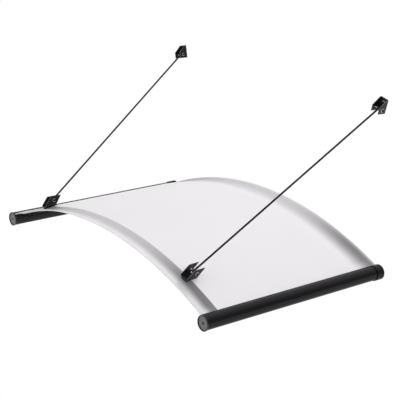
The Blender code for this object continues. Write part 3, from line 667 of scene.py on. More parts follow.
def with_thread(profile, radius, pitch, low, high, placed):
    """A turned piece with a closed thread ridge that runs out over half a turn at both ends."""
    bm = turned(profile)
    core = radius - THREAD_DEPTH * pitch
    foot = core * THREAD_FOOT
    count = int((high - low - pitch) / pitch * THREAD_STEPS)
    rings = []
    for step in range(count + 1):
        angle = 2 * math.pi * step / THREAD_STEPS
        base = low + pitch * step / THREAD_STEPS
        ease = min(1.0, step / THREAD_STEPS * 2, (count - step) / THREAD_STEPS * 2)
        crest = core + (radius - core) * ease
        ring = []
        for reach, rise in zip((foot, crest, crest, foot), THREAD_RISES):
            ring.append(bm.verts.new((*polar(reach, angle), base + rise * pitch)))
        rings.append(ring)
    bridge(bm, rings, capped=True)
    return solid("threaded", bm, placed)


def rounded(corners, radius, steps=FOLD_STEPS):
    """The outline with each corner replaced by an arc of the given radius."""
    outline = []
    count = len(corners)
    for index in range(count):
        here = Vector(corners[index])
        to_last = (Vector(corners[index - 1]) - here).normalized()
        to_next = (Vector(corners[(index + 1) % count]) - here).normalized()
        half = to_last.angle(to_next) / 2
        middle = here + (to_last + to_next).normalized() * radius / math.sin(half)
        start = here + to_last * radius / math.tan(half) - middle
        end = here + to_next * radius / math.tan(half) - middle
        turn = start.angle_signed(end)
        for step in range(steps + 1):
            angle = -turn * step / steps
            cosine = math.cos(angle)
            sine = math.sin(angle)
            arm = (start.x * cosine - start.y * sine, start.x * sine + start.y * cosine)
            outline.append(middle + Vector(arm))
    return outline


def channel_depth(y):
    """How far the formed rain channels sink the sheet at this distance from the wall."""
    sheet = bpy.context.scene.canopy_sheet
    depth = 0.0
    back_start = SHEET_BACK - BACK_CHANNEL_RISE - BACK_CHANNEL_FALL
    spans = (
        (SHEET_FRONT, FRONT_CHANNEL_FALL, FRONT_CHANNEL_RISE, sheet.front_channel),
        (back_start, BACK_CHANNEL_FALL, BACK_CHANNEL_RISE, sheet.back_channel),
    )
    for start, fall, rise, deepest in spans:
        into = y - start
        if 0 < into <= fall:
            depth += deepest * (1 - math.cos(math.pi * into / fall)) / 2
        elif fall < into < fall + rise:
            climbed = 1 - math.cos(CREST_PHASE * math.pi * (into - fall) / rise)
            depth += deepest * (1 - climbed / (1 - math.cos(CREST_PHASE * math.pi)))
    return depth


def channel_strength(angle):
    """1 across the sheet, easing to 0 before the sheet enters its tubes."""
    left = (ENTRY_ANGLE - abs(angle)) * ARCH_RADIUS - CHANNEL_END_GAP
    share = min(max(left / CHANNEL_FADE, 0.0), 1.0)
    return share * share * (3 - 2 * share)


def arch_point(angle, y, depth, lift=0.0):
    reach = ARCH_RADIUS + lift - depth * channel_strength(angle)
    return ARCH_CENTRE + Vector((reach * math.sin(angle), y, reach * math.cos(angle)))


def lift_over_sheet(point):
    """How far a point lies above the sheet's top face."""
    offset = point - ARCH_CENTRE
    angle = math.atan2(offset.x, offset.z)
    reach = math.hypot(offset.x, offset.z)
    return reach - ARCH_RADIUS + channel_depth(point.y) * channel_strength(angle)


def rows_between(low, high, step):
    count = max(1, round((high - low) / step))
    return [low + (high - low) * index / count for index in range(count)]


def sheet_section(thickness, arris):
    """Points (y, lift) round the sheet's section, with close rows in the channels and broken edges."""
    back_start = SHEET_BACK - BACK_CHANNEL_RISE - BACK_CHANNEL_FALL
    rows = rows_between(SHEET_FRONT + arris, CREST_Y - CREST_STEP, CHANNEL_STEP)
    rows += [CREST_Y - CREST_STEP, CREST_Y]
    rows += rows_between(CREST_Y + CREST_STEP, back_start, FLAT_STEP)
    rows += rows_between(back_start, SHEET_BACK - arris, CHANNEL_STEP)
    rows.append(SHEET_BACK - arris)
    corner = [math.radians(45 * step) for step in (0, 1, 2)]
    back = [(SHEET_BACK - arris + arris * math.sin(a), arris * math.cos(a) - arris) for a in corner]
    section = [(y, 0.0) for y in rows[1:-1]] + back
    section += [(y, -thickness - lift) for y, lift in reversed(back)]
    section += [(y, -thickness) for y in reversed(rows[1:-1])]
    front = [(SHEET_FRONT + arris - arris * math.sin(a), arris * math.cos(a) - arris) for a in corner]
    section += [(y, -thickness - lift) for y, lift in front]
    section += list(reversed(front))
    return section


def on_tube(side, y=0.0):
    return Matrix.Translation((side * TUBE_X, y, 0))


def out_of_tube(side, y=0.0):
    """A frame on a tube's axis whose local Z points out from the wall, along -Y."""
    return on_tube(side, y) @ QUARTER_TURN


def steel_frame(origin, along, normal):
    """Local X runs along, local Z is the normal, and local Y is the cross pin's axis."""
    across = normal.cross(along).normalized()
    matrix = Matrix((along, across, normal)).transposed().to_4x4()
    matrix.translation = origin
    return matrix


def bracket_frames(side):
    """Frames at the lower and upper pins, with their bases on the sheet and on the wall."""
    angle = math.asin(FOOT_X / ARCH_RADIUS)
    lift = PAD_THICKNESS + 2 * CLEARANCE + PIN_HEIGHT
    lower = arch_point(side * angle, FOOT_Y, channel_depth(FOOT_Y), lift)
    upper = Vector((side * WALL_PIN_X, -PIN_HEIGHT, WALL_PIN_HEIGHT))
    reach = (upper - lower).normalized()
    sheet_normal = (lower - ARCH_CENTRE) * Vector((1, 0, 1))
    sheet_normal.normalize()
    wall_normal = Vector((0, -1, 0))
    along_sheet = (reach - reach.dot(sheet_normal) * sheet_normal).normalized()
    along_wall = (reach.dot(wall_normal) * wall_normal - reach).normalized()
    return steel_frame(lower, along_sheet, sheet_normal), steel_frame(upper, along_wall, wall_normal)


def bolt_frame(placed, lift=0.0):
    """The axis of a bracket's bolt or screw, with local Z = 0 at a lift over the base's underside."""
    return placed @ Matrix.Translation((SCREW_SETBACK, 0, lift - PIN_HEIGHT))


def pin_frame(placed, side):
    """Local Z runs along the cross pin, out towards the canopy's own side."""
    axis = placed.to_3x3() @ Vector((0, 1, 0))
    outward = 1 if axis.x * side > 0 else -1
    return placed @ Matrix.Rotation(-outward * math.pi / 2, 4, "X")


def acrylic_sheet(sheet):
    """One sheet, cold-bent to the arch, with a formed channel along each free edge."""
    bm = bmesh.new()
    section = [(y, channel_depth(y), lift) for y, lift in sheet_section(sheet.thickness, sheet.arris)]
    rings = []
    for column in range(SHEET_COLUMNS + 1):
        angle = SHEET_END_ANGLE * (2 * column / SHEET_COLUMNS - 1)
        rings.append([bm.verts.new(arch_point(angle, *point)) for point in section])
    bridge(bm, rings, capped=True)
    piece = solid("sheet", bm)
    for _, side in SIDES:
        drill(piece, BOLT_DIAMETER, -THROUGH, THROUGH, bolt_frame(bracket_frames(side)[0]))
    settle(piece, "acrylic_sheet", ACRYLIC)


def slot_crossing(radius, margin, side, upper):
    """The angle about the tube's axis where a circle meets the upper or lower face of the slot."""
    thickness = bpy.context.scene.canopy_sheet.thickness
    arc = ARCH_RADIUS + margin if upper else ARCH_RADIUS - thickness - margin
    to_centre = Vector((-TUBE_X, ARCH_CENTRE.z))
    distance = to_centre.length
    cosine = (distance**2 + radius**2 - arc**2) / (2 * distance * radius)
    angle = math.atan2(to_centre.y, to_centre.x) - math.acos(cosine)
    return angle if side > 0 else math.pi - angle


def slotted_ring(side, outer, inner, margin):
    """The section of a tube with the sheet's slot in it, about the tube's own axis."""
    outline = []
    for radius, forward in ((outer, True), (inner, False)):
        start = slot_crossing(radius, margin, side, True)
        end = slot_crossing(radius, margin, side, False)
        sweep = -side * (side * (start - end) % (2 * math.pi))
        arc = [polar(radius, start + sweep * step / FINE_ROUND) for step in range(FINE_ROUND + 1)]
        outline += arc if forward else arc[::-1]
    return outline


def slot_margin(tubes):
    return tubes.seal_wall + 2 * CLEARANCE


def side_tube(name, side, tubes):
    """An extruded tube with the sheet's slot, drilled below for its two tapping screws."""
    section = slotted_ring(side, TUBE_RADIUS, TUBE_RADIUS - tubes.wall, slot_margin(tubes))
    tube = solid("tube", prism(section, TUBE_FRONT, TUBE_BACK), on_tube(side))
    low, high = -TUBE_RADIUS - THROUGH, -TUBE_RADIUS + TAPPING_LENGTH
    for y in (INSERT_SCREW_Y, SOCKET_SCREW_Y):
        drill(tube, TAPPING_DIAMETER, low, high, on_tube(side, y))
    settle(tube, name + "_side_tube", ANODISED, SOFT_EDGE)


def slot_seal(name, side, tubes):
    """A soft U profile pushed over the sheet's edge, with rounded lips."""
    thickness = bpy.context.scene.canopy_sheet.thickness
    lip = ENTRY_ANGLE - SEAL_LIP / ARCH_RADIUS
    inner_end = SHEET_END_ANGLE + CLEARANCE / ARCH_RADIUS
    outer_end = inner_end + tubes.seal_wall / ARCH_RADIUS
    top = ARCH_RADIUS + CLEARANCE
    bottom = ARCH_RADIUS - thickness - CLEARANCE
    path = [
        (top + tubes.seal_wall, lip),
        (top + tubes.seal_wall, outer_end),
        (bottom - tubes.seal_wall, outer_end),
        (bottom - tubes.seal_wall, lip),
        (bottom, lip),
        (bottom, inner_end),
        (top, inner_end),
        (top, lip),
    ]
    outline = [(side * r * math.sin(at), ARCH_CENTRE.z + r * math.cos(at)) for r, at in path]
    section = rounded(outline, tubes.seal_wall * SEAL_ROUNDING, LIP_STEPS)
    settle(solid("seal", prism(section, SHEET_FRONT, SHEET_BACK)), name + "_slot_seal", RUBBER)


def wall_socket(name, side, tubes):
    """A round base with a slotted collar that the tube slides into."""
    bore = TUBE_RADIUS + CLEARANCE
    outer = bore + tubes.socket_wall
    sink = SOCKET_SCREW_HEAD / 2 + CLEARANCE
    profile = [
        (BOLT_BORE, 0),
        (outer, 0),
        (outer, SOCKET_BASE),
        (sink, SOCKET_BASE),
        (BOLT_BORE, SOCKET_BASE - sink + BOLT_BORE),
    ]
    socket = solid("socket", turned(profile, FINE_ROUND, hollow=True), out_of_tube(side))
    section = slotted_ring(side, outer, bore, slot_margin(tubes) + CLEARANCE)
    join(socket, solid("collar", prism(section, -SOCKET_LENGTH, -SOCKET_BASE / 2), on_tube(side)))
    low, high = -outer - THROUGH, -outer + TAPPING_LENGTH
    drill(socket, TAPPING_DIAMETER, low, high, on_tube(side, SOCKET_SCREW_Y))
    settle(socket, name + "_wall_socket", ANODISED, SOCKET_EDGE)


def socket_wall_screw(name, side):
    """A countersunk screw with a coarse thread that reaches into the wall."""
    rim = SOCKET_SCREW_HEAD / 2
    neck = BOLT_DIAMETER / 2
    depth = rim - neck
    length = SOCKET_BASE + ANCHOR_REACH
    pitch = 2 * bpy.context.scene.canopy_fasteners.thread_pitch
    core = neck - THREAD_DEPTH * pitch
    tip = core * WOOD_SCREW_TIP
    profile = [
        (0, -length),
        (tip, -length + tip),
        (core, -length + 2 * core),
        (core, -depth - neck),
        (neck, -depth),
        (rim, -SOFT_EDGE),
        (rim - CRISP_EDGE, 0),
        (rim * SUNK_SOCKET, 0, 6),
        (rim * SUNK_SOCKET, -depth * SUNK_SOCKET_DEPTH, 6),
        (0, -depth * SUNK_SOCKET_DEPTH),
    ]
    placed = out_of_tube(side, -SOCKET_BASE)
    low, high = -length + core, -depth - neck / 2
    screw = with_thread(profile, neck, pitch, low, high, placed)
    settle(screw, name + "_socket_wall_screw", ZINC)


def tapping_screw(node, side, y, seat):
    """A pan-head tapping screw with a cross recess, driven up into the bottom of a tube."""
    neck = TAPPING_DIAMETER / 2
    pitch = TAPPING_PITCH
    core = neck - THREAD_DEPTH * pitch
    rim = TAPPING_HEAD / 2
    under = -seat - CLEARANCE
    crown = under - TAPPING_HEAD_HEIGHT
    profile = [
        (0, under + TAPPING_LENGTH + neck),
        (core, under + TAPPING_LENGTH),
        (core, under),
        (rim, under),
        (rim, under - TAPPING_HEAD_HEIGHT * PAN_EDGE),
        *((rim * out, crown + TAPPING_HEAD_HEIGHT * up) for out, up in PAN_CROWN),
        (0, crown),
    ]
    profile = eased(profile, CRISP_EDGE)
    screw = with_thread(profile, neck, pitch, under, under + TAPPING_LENGTH, on_tube(side, y))
    arm = rim * CROSS_ARM
    slot = rim * CROSS_SLOT
    corners = [(arm, slot), (slot, slot), (slot, arm)]
    outline = []
    for cosine, sine in ((1, 0), (0, 1), (-1, 0), (0, -1)):
        outline += [(a * cosine - b * sine, a * sine + b * cosine) for a, b in corners]
    recess = prism(outline, crown - THROUGH, crown + TAPPING_HEAD_HEIGHT * CROSS_DEPTH, "XY")
    cut(screw, solid("recess", recess, on_tube(side, y)))
    settle(screw, node, BLACKENED)


def front_cap(name, side, caps):
    """A moulded end cap: a sunk face with a boss for its screw, and a spigot inside the tube."""
    outer = TUBE_RADIUS + caps.overhang
    rim = outer - caps.rim_width
    hole = caps.screw_diameter / 2 + CLEARANCE
    sink = caps.screw_head / 2 + CLEARANCE
    face = CAP_THICKNESS - caps.recess
    seat = face - sink + hole
    boss = sink + CAP_BOSS_WALL
    profile = [
        (hole, seat - CAP_BOSS_WALL),
        (boss, seat - CAP_BOSS_WALL),
        (boss, 0),
        (outer, 0),
        (outer, CAP_THICKNESS),
        (rim, CAP_THICKNESS),
        (rim - caps.recess * CAP_DRAFT, face),
        (sink, face),
        (hole, seat),
    ]
    ring = turned(eased(profile, CAP_EDGE, closed=True), FINE_ROUND, hollow=True)
    cap = solid("cap", ring, out_of_tube(side, -PROJECTION + CAP_THICKNESS))
    spigot = []
    reach = TUBE_RADIUS - bpy.context.scene.canopy_tubes.wall - CLEARANCE
    for radius, turn in ((reach, 1), (reach - CAP_SPIGOT_WALL, -1)):
        arc = [math.pi * (1 + step / ROUND) for step in range(ROUND + 1)]
        spigot += [polar(radius, angle) for angle in arc[::turn]]
    front = TUBE_FRONT - CLEARANCE - face / 2
    shape = prism(spigot, front, TUBE_FRONT + CAP_SPIGOT_DEPTH)
    join(cap, solid("spigot", shape, on_tube(side)))
    settle(cap, name + "_front_cap", MOULDED)
    # The rim is painted near black: painted shade round the sunk face
    accent(cap, RIM_PAINTED_SHADE, lambda middle, normal: math.hypot(middle.x, middle.y) > rim - CAP_RIM_SHADE)


def cap_screw(name, side, caps):
    """A flat-head socket screw."""
    neck = caps.screw_diameter / 2
    rim = caps.screw_head / 2
    depth = rim - neck
    recess = CAP_SCREW_RECESS / 2
    pitch = CAP_SCREW_PITCH
    core = neck - THREAD_DEPTH * pitch
    profile = [
        (0, -CAP_SCREW_LENGTH),
        (neck * CAP_SCREW_TIP, -CAP_SCREW_LENGTH),
        (core, -CAP_SCREW_LENGTH + neck),
        (core, -depth - neck),
        (neck, -depth),
        (rim, -SOFT_EDGE),
        (rim - CRISP_EDGE, 0),
        (recess + CRISP_EDGE, 0, 6),
        (recess, -CRISP_EDGE, 6),
        (recess, -depth * SUNK_SOCKET_DEPTH, 6),
        (0, -depth * SUNK_SOCKET_DEPTH),
    ]
    placed = out_of_tube(side, -PROJECTION + caps.recess)
    low, high = -CAP_SCREW_LENGTH + neck / 2, -depth - neck / 2
    screw = with_thread(profile, neck, pitch, low, high, placed)
    settle(screw, name + "_cap_screw", BLACKENED)


def channel(half, low, high, radius, margin, placed):
    """A filled channel with rounded corners that runs past both ends of a bracket by a margin."""
    corners = [(half, low), (-half, low), (-half, high), (half, high)]
    shape = prism(rounded(corners, radius), BASE_FRONT - margin, CANOPY_EAR_TIP + margin, "YZ")
    return solid("channel", shape, placed)


def folded_bracket(node, base_rear, ear_tip, tongue, placed, brackets):
    """A channel folded from steel plate, its side walls trimmed to a pair of raked ears."""
    half = brackets.width / 2
    inside = half - brackets.plate
    base = -PIN_HEIGHT
    floor = base + brackets.plate
    top = base + EAR_HEIGHT
    over = 2 * THROUGH
    fold = brackets.fold_radius
    body = channel(half, base, top + THROUGH, fold, THROUGH, placed)
    cut(body, channel(inside, floor, top + over, fold - brackets.plate, over, placed))
    ear = [
        (BASE_FRONT, base),
        (base_rear, base),
        (ear_tip, top),
        (EAR_SHOULDER, top),
        (BASE_FRONT, base + EAR_FRONT_HEIGHT),
    ]
    trim = prism(rounded(ear, brackets.ear_corner, CORNER_STEPS), -brackets.width, brackets.width)
    combine(body, solid("ears", trim, placed), "INTERSECT")
    if tongue:
        front = BASE_FRONT / 2
        rear = base_rear + tongue
        flat = half - fold
        corners = [(front, -flat), (rear, -flat), (rear, flat), (front, flat)]
        plate = prism(rounded(corners, brackets.ear_corner), base, floor, "XY")
        join(body, solid("tongue", plate, placed))
    drill(body, PIN_DIAMETER, -brackets.width, brackets.width, placed @ QUARTER_TURN)
    drill(body, BOLT_DIAMETER, -THROUGH, THROUGH, bolt_frame(placed))
    settle(body, node, COATED, brackets.edge)

    def sheared(middle, normal):
        """Faces that look neither across the bracket nor, down at its base, straight up or down."""
        along = abs(normal.x) > LOOKS_ALONG or middle.z > floor + fold
        return along and abs(normal.y) < LOOKS_ACROSS

    # The sheared edges take the lighter grey: a painted highlight where the coat runs thin
    accent(body, THIN_COAT_HIGHLIGHT, sheared)


def drop_to_sheet(point, normal, lift):
    """The point moved along the normal until it lies at a lift over the sheet's top face."""
    for _ in range(FIT_PASSES):
        point = point - normal * (lift_over_sheet(point) - lift)
    return point


def fitted_block(plan, height, lift, placed):
    """A block with one flat face at a local height and one face that follows the sheet at a lift.

    The plan is rings of local points from the rim inwards, the last ring being the bore's.
    """
    normal = placed.to_3x3() @ Vector((0, 0, 1))
    inverse = placed.inverted()
    bm = bmesh.new()
    flat = []
    fitted = []
    for ring in plan:
        flat.append([bm.verts.new((a, b, height)) for a, b in ring])
        worlds = [drop_to_sheet(placed @ Vector((a, b, height)), normal, lift) for a, b in ring]
        fitted.append([bm.verts.new(inverse @ world) for world in worlds])
    bridge(bm, flat + fitted[::-1] + flat[:1])
    return solid("block", bm, placed)


def circle(radius, steps=ROUND):
    return [polar(radius, 2 * math.pi * step / steps) for step in range(steps)]


def block_ring(low, high, half):
    """Points round a rectangle with rounded corners, one for each direction of a circle."""
    middle = (low + high) / 2
    reach = (high - low) / 2
    ring = []
    for x, y in circle(1.0):
        total = abs(x / reach) ** PAD_SQUARENESS + abs(y / half) ** PAD_SQUARENESS
        scale = total ** (-1 / PAD_SQUARENESS)
        ring.append((middle + x * scale, y * scale))
    return ring


def bracket_pad(name, placed):
    """A rubber foot, flat under the bracket and shaped below to the sheet and its front channel."""
    brackets = bpy.context.scene.canopy_brackets
    low = BASE_FRONT - SCREW_SETBACK + PAD_INSET
    high = CANOPY_BASE_REAR - SCREW_SETBACK - PAD_INSET
    half = brackets.width / 2 - brackets.fold_radius
    rim = [Vector(point) for point in block_ring(low, high, half)]
    hole = [Vector(point) for point in circle(BOLT_BORE)]
    plan = [[near.lerp(far, share) for near, far in zip(hole, rim)] for share in PAD_SHARES]
    pad = fitted_block(plan, -CLEARANCE, CLEARANCE, bolt_frame(placed))
    settle(pad, name + "_bracket_pad", RUBBER, SOFT_EDGE)


def washer_seat(placed):
    """Local height of the seal washer's flat underside, clear of the sheet's underside all round."""
    axis = bolt_frame(placed)
    normal = axis.to_3x3() @ Vector((0, 0, 1))
    inverse = axis.inverted()
    thickness = bpy.context.scene.canopy_sheet.thickness
    lowest = 0.0
    for a, b in circle(SEAL_WASHER_DIAMETER / 2, WASHER_POINTS):
        under = drop_to_sheet(axis @ Vector((a, b, 0)), normal, -thickness - CLEARANCE)
        lowest = min(lowest, (inverse @ under).z)
    return lowest - SEAL_WASHER_THICKNESS


def seal_washer(name, placed):
    """A soft washer under the sheet, shaped above to its underside and flat below."""
    thickness = bpy.context.scene.canopy_sheet.thickness
    wall = SEAL_WASHER_DIAMETER / 2 - BOLT_BORE
    plan = [circle(BOLT_BORE + wall * share) for share in WASHER_SHARES]
    block = fitted_block(plan, washer_seat(placed), -thickness - CLEARANCE, bolt_frame(placed))
    settle(block, name + "_seal_washer", RUBBER, SOFT_EDGE)


def flange_nut(node, placed, fasteners):
    """A hexagon nut with a round flange and chamfered corners; local Z = 0 is its seat."""
    flats = fasteners.nut / 2
    flange = fasteners.nut_flange / 2
    foot, slope = NUT_FLANGE_FOOT
    profile = [
        (BOLT_BORE, 0),
        (flange - CRISP_EDGE, 0),
        (flange, CRISP_EDGE),
        (flange, NUT_FLANGE_HEIGHT * NUT_FLANGE_EDGE),
        (flats * foot, NUT_FLANGE_HEIGHT * slope),
        (flats, NUT_FLANGE_HEIGHT, 6),
        (flats, NUT_HEIGHT - NUT_CHAMFER * flats, 6),
        (flats * NUT_FACE, NUT_HEIGHT),
        (BOLT_BORE + SOCKET_EDGE, NUT_HEIGHT),
        (BOLT_BORE, NUT_HEIGHT - SOCKET_EDGE),
    ]
    nut = settle(solid("nut", turned(profile, hollow=True), placed), node, ZINC, smooth=30)
    # Painted shade: the hex and its face inside the flange are coloured as blackened steel, and the
    # flange stays zinc
    accent(nut, BLACKENED, lambda middle, normal: math.hypot(middle.x, middle.y) < flats * NUT_DARK)


def button_screw(node, length, threaded, pitch, placed, fasteners):
    """A button-head screw: local Z = 0 is the seat of its head, and the shank runs down from there."""
    neck = BOLT_DIAMETER / 2
    core = neck - THREAD_DEPTH * pitch
    rim = fasteners.head / 2
    recess = neck * BUTTON_SOCKET
    top = BUTTON_HEIGHT
    dome = []
    for step in range(DOME_STEPS + 1):
        angle = math.pi / 2 * step / DOME_STEPS
        out = BUTTON_CROWN + (1 - BUTTON_CROWN) * math.cos(angle)
        up = BUTTON_SHOULDER + (1 - BUTTON_SHOULDER) * math.sin(angle)
        dome.append((rim * out, top * up))
    profile = [
        (0, -length),
        (core * BLUNT_TIP, -length),
        (core, -length + neck / 2),
        (core, -length + threaded),
        (neck, -length + threaded + neck / 3),
        (neck, 0),
        (rim, 0),
        *dome,
        (recess + CRISP_EDGE, top, 6),
        (recess, top - CRISP_EDGE, 6),
        (recess, top * BUTTON_SOCKET_FLOOR, 6),
        (0, top * BUTTON_SOCKET_FLOOR),
    ]
    low, high = -length + neck / 3, -length + threaded + pitch / 2
    settle(with_thread(profile, neck, pitch, low, high, placed), node, BLACKENED)


def bracket_bolt(name, placed, fasteners):
    plate = bpy.context.scene.canopy_brackets.plate
    seat = bolt_frame(placed, plate + CLEARANCE)
    length = plate + 2 * CLEARANCE - washer_seat(placed) + NUT_HEIGHT + BOLT_TAIL
    threaded = BOLT_TAIL + NUT_HEIGHT + SEAL_WASHER_THICKNESS
    button_screw(name + "_bracket_bolt", length, threaded, fasteners.thread_pitch, seat, fasteners)


def wall_fixing(name, placed, fasteners):
    """The washer and the wall screw in a wall bracket's base, with a coarse thread behind the wall."""
    plate = bpy.context.scene.canopy_brackets.plate
    reach = fasteners.washer / 2
    profile = [(BOLT_BORE, 0), (reach, 0), (reach, WASHER_THICKNESS), (BOLT_BORE, WASHER_THICKNESS)]
    ring = turned(eased(profile, SOFT_EDGE, closed=True), hollow=True)
    washer = solid("washer", ring, bolt_frame(placed, plate + CLEARANCE))
    settle(washer, name + "_wall_washer", ZINC)
    stack = plate + WASHER_THICKNESS + 2 * CLEARANCE
    head = bolt_frame(placed, stack)
    node = name + "_wall_bracket_screw"
    button_screw(node, stack + ANCHOR_REACH, ANCHOR_REACH, 2 * fasteners.thread_pitch, head, fasteners)


def cross_pin(node, placed, side, rods):
    """A pin with a broad dished head on the outer ear and a thread for its nut on the inner ear."""
    half = bpy.context.scene.canopy_brackets.width / 2 + CLEARANCE
    neck = PIN_DIAMETER / 2
    pitch = bpy.context.scene.canopy_fasteners.thread_pitch
    core = neck - THREAD_DEPTH * pitch
    rim = rods.pin_head / 2
    dish = rods.pin_dish / 2
    socket = PIN_SOCKET / 2
    tail = -half - NUT_HEIGHT - PIN_TAIL
    crown = half + PIN_HEAD_HEIGHT
    floor = crown - PIN_DISH_DEPTH
    profile = [
        (0, tail),
        (core * BLUNT_TIP, tail),
        (core, tail + neck / 3),
        (core, -half + pitch),
        (neck, -half + 2 * pitch),
        (neck, half),
        (rim, half),
        (rim, crown - PIN_HEAD_EDGE),
        (rim - PIN_HEAD_EDGE, crown),
        (dish, crown),
        (dish - SOFT_EDGE, floor),
        (socket, floor, 6),
        (socket, half + PIN_SOCKET_FLOOR, 6),
        (0, half + PIN_SOCKET_FLOOR),
    ]
    profile = eased(profile, SOFT_EDGE)
    low, high = tail + neck / 4, -half + 2 * pitch
    pin = with_thread(profile, neck, pitch, low, high, pin_frame(placed, side))
    settle(pin, node, ZINC)

    def dark(middle, normal):
        """Faces in the dish and, past the inner ear, on the threaded end."""
        return abs(middle.z) > half and math.hypot(middle.x, middle.y) < dish - CRISP_EDGE / 2

    # Painted shade: the dish and its socket are coloured as blackened steel, and the threaded end past
    # the inner ear is coloured dark too
    accent(pin, BLACKENED, dark)


def pin_nut(node, placed, side, fasteners):
    width = bpy.context.scene.canopy_brackets.width
    seat = Matrix.Translation((0, 0, -width / 2 - CLEARANCE)) @ HALF_TURN
    flange_nut(node, pin_frame(placed, side) @ seat, fasteners)


def tie_rod(name, lower_frame, upper_frame, rods):
    """A steel rod with an eye welded to each end, coated with the rod."""
    lower = lower_frame.translation
    upper = upper_frame.translation
    length = (upper - lower).length
    reach = (upper - lower).normalized()
    pin = lower_frame.to_3x3() @ Vector((0, 1, 0))
    placed = Matrix((pin, reach.cross(pin), reach)).transposed().to_4x4()
    placed.translation = lower
    inset = rods.eye * EYE_OVERLAP
    rod = solid("rod", rod_shape(rods.diameter, inset, length - inset), placed)
    ends = [end @ QUARTER_TURN for end in (lower_frame, upper_frame)]
    for end in ends:
        join(rod, solid("eye", rod_shape(rods.eye, -EYE_WIDTH / 2, EYE_WIDTH / 2), end))
    for end in ends:
        drill(rod, PIN_DIAMETER, -THROUGH, THROUGH, end)
    settle(rod, name + "_tie_rod", COATED, ROD_EDGE)


class CANOPY_OT_finishes(bpy.types.Operator):
    """Mix the finishes that the canopy's pieces share"""

    bl_idname = "canopy.finishes"
    bl_label = "Finishes"

    def execute(self, context):
        scene = context.scene
        satin_acrylic(scene.canopy_sheet)
        anodised_aluminium(scene.canopy_tubes.finish)
        rubber(scene.canopy_tubes.rubber)
        moulded_plastic(MOULDED[0], scene.canopy_caps.finish)
        moulded_plastic(RIM_PAINTED_SHADE[0], scene.canopy_caps.rim_painted_shade)
        powder_coat(COATED[0], scene.canopy_brackets.coating)
        powder_coat(THIN_COAT_HIGHLIGHT[0], scene.canopy_brackets.thin_coating_highlight)
        zinc_plate(scene.canopy_fasteners.zinc)
        black_oxide(scene.canopy_fasteners.blackened)
        return {"FINISHED"}


class CANOPY_OT_sheet(bpy.types.Operator):
    """Form the satin acrylic sheet with its rain channels and bolt holes"""

    bl_idname = "canopy.sheet"
    bl_label = "Acrylic sheet"

    def execute(self, context):
        acrylic_sheet(context.scene.canopy_sheet)
        return {"FINISHED"}


class CANOPY_OT_tubes(bpy.types.Operator):
    """Extrude the slotted side tubes, with their rubber seals, wall sockets and screws"""

    bl_idname = "canopy.tubes"
    bl_label = "Side tubes"

    def execute(self, context):
        tubes = context.scene.canopy_tubes
        collar = TUBE_RADIUS + CLEARANCE + tubes.socket_wall
        for name, side in SIDES:
            side_tube(name, side, tubes)
            slot_seal(name, side, tubes)
            wall_socket(name, side, tubes)
            socket_wall_screw(name, side)
            tapping_screw(name + "_insert_screw", side, INSERT_SCREW_Y, TUBE_RADIUS)
            tapping_screw(name + "_socket_screw", side, SOCKET_SCREW_Y, collar)
        return {"FINISHED"}


class CANOPY_OT_caps(bpy.types.Operator):
    """Mould the front caps and drive their centre screws"""

    bl_idname = "canopy.caps"
    bl_label = "Front caps"

    def execute(self, context):
        for name, side in SIDES:
            front_cap(name, side, context.scene.canopy_caps)
            cap_screw(name, side, context.scene.canopy_caps)
            repaint(name + "_cap_insert", ZINC)
        return {"FINISHED"}


class CANOPY_OT_brackets(bpy.types.Operator):
    """Fold the steel brackets on the sheet and on the wall"""

    bl_idname = "canopy.brackets"
    bl_label = "Brackets"

    def execute(self, context):
        brackets = context.scene.canopy_brackets
        for name, side in SIDES:
            lower, upper = bracket_frames(side)
            node = name + "_canopy_bracket"
            folded_bracket(node, CANOPY_BASE_REAR, CANOPY_EAR_TIP, brackets.tongue, lower, brackets)
            folded_bracket(name + "_wall_bracket", WALL_BASE_REAR, WALL_EAR_TIP, 0.0, upper, brackets)
        return {"FINISHED"}


class CANOPY_OT_fixings(bpy.types.Operator):
    """Bolt the brackets to the sheet and screw them to the wall"""

    bl_idname = "canopy.fixings"
    bl_label = "Bolts, washers and wall screws"

    def execute(self, context):
        fasteners = context.scene.canopy_fasteners
        for name, side in SIDES:
            lower, upper = bracket_frames(side)
            bracket_pad(name, lower)
            seal_washer(name, lower)
            bracket_bolt(name, lower, fasteners)
            seat = bolt_frame(lower, washer_seat(lower) - CLEARANCE)
            flange_nut(name + "_bolt_nut", seat @ HALF_TURN, fasteners)
            wall_fixing(name, upper, fasteners)
        return {"FINISHED"}


class CANOPY_OT_rods(bpy.types.Operator):
    """Hang the tie rods between the brackets on their cross pins"""

    bl_idname = "canopy.rods"
    bl_label = "Tie rods and pins"

    def execute(self, context):
        scene = context.scene
        for name, side in SIDES:
            lower, upper = bracket_frames(side)
            tie_rod(name, lower, upper, scene.canopy_rods)
            for end, placed in (("lower", lower), ("upper", upper)):
                cross_pin(f"{name}_{end}_pin", placed, side, scene.canopy_rods)
                pin_nut(f"{name}_{end}_pin_nut", placed, side, scene.canopy_fasteners)
        return {"FINISHED"}


class CANOPY_OT_stage(bpy.types.Operator):
    """Set the pale floor, the studio light and the camera"""

    bl_idname = "canopy.stage"
    bl_label = "Stage"

    def execute(self, context):
        settings = context.scene.canopy_stage
        white_floor(settings)
        studio_world(settings)
        key_light(settings)
        camera()
        context.scene.view_settings.view_transform = "Standard"
        return {"FINISHED"}


def heading(azimuth, elevation):
    """A direction from its azimuth, in degrees from +Y towards +X, and its height over the horizon."""
    turn, rise = math.radians(azimuth), math.radians(elevation)
    return Vector((math.sin(turn) * math.cos(rise), math.cos(turn) * math.cos(rise), math.sin(rise)))


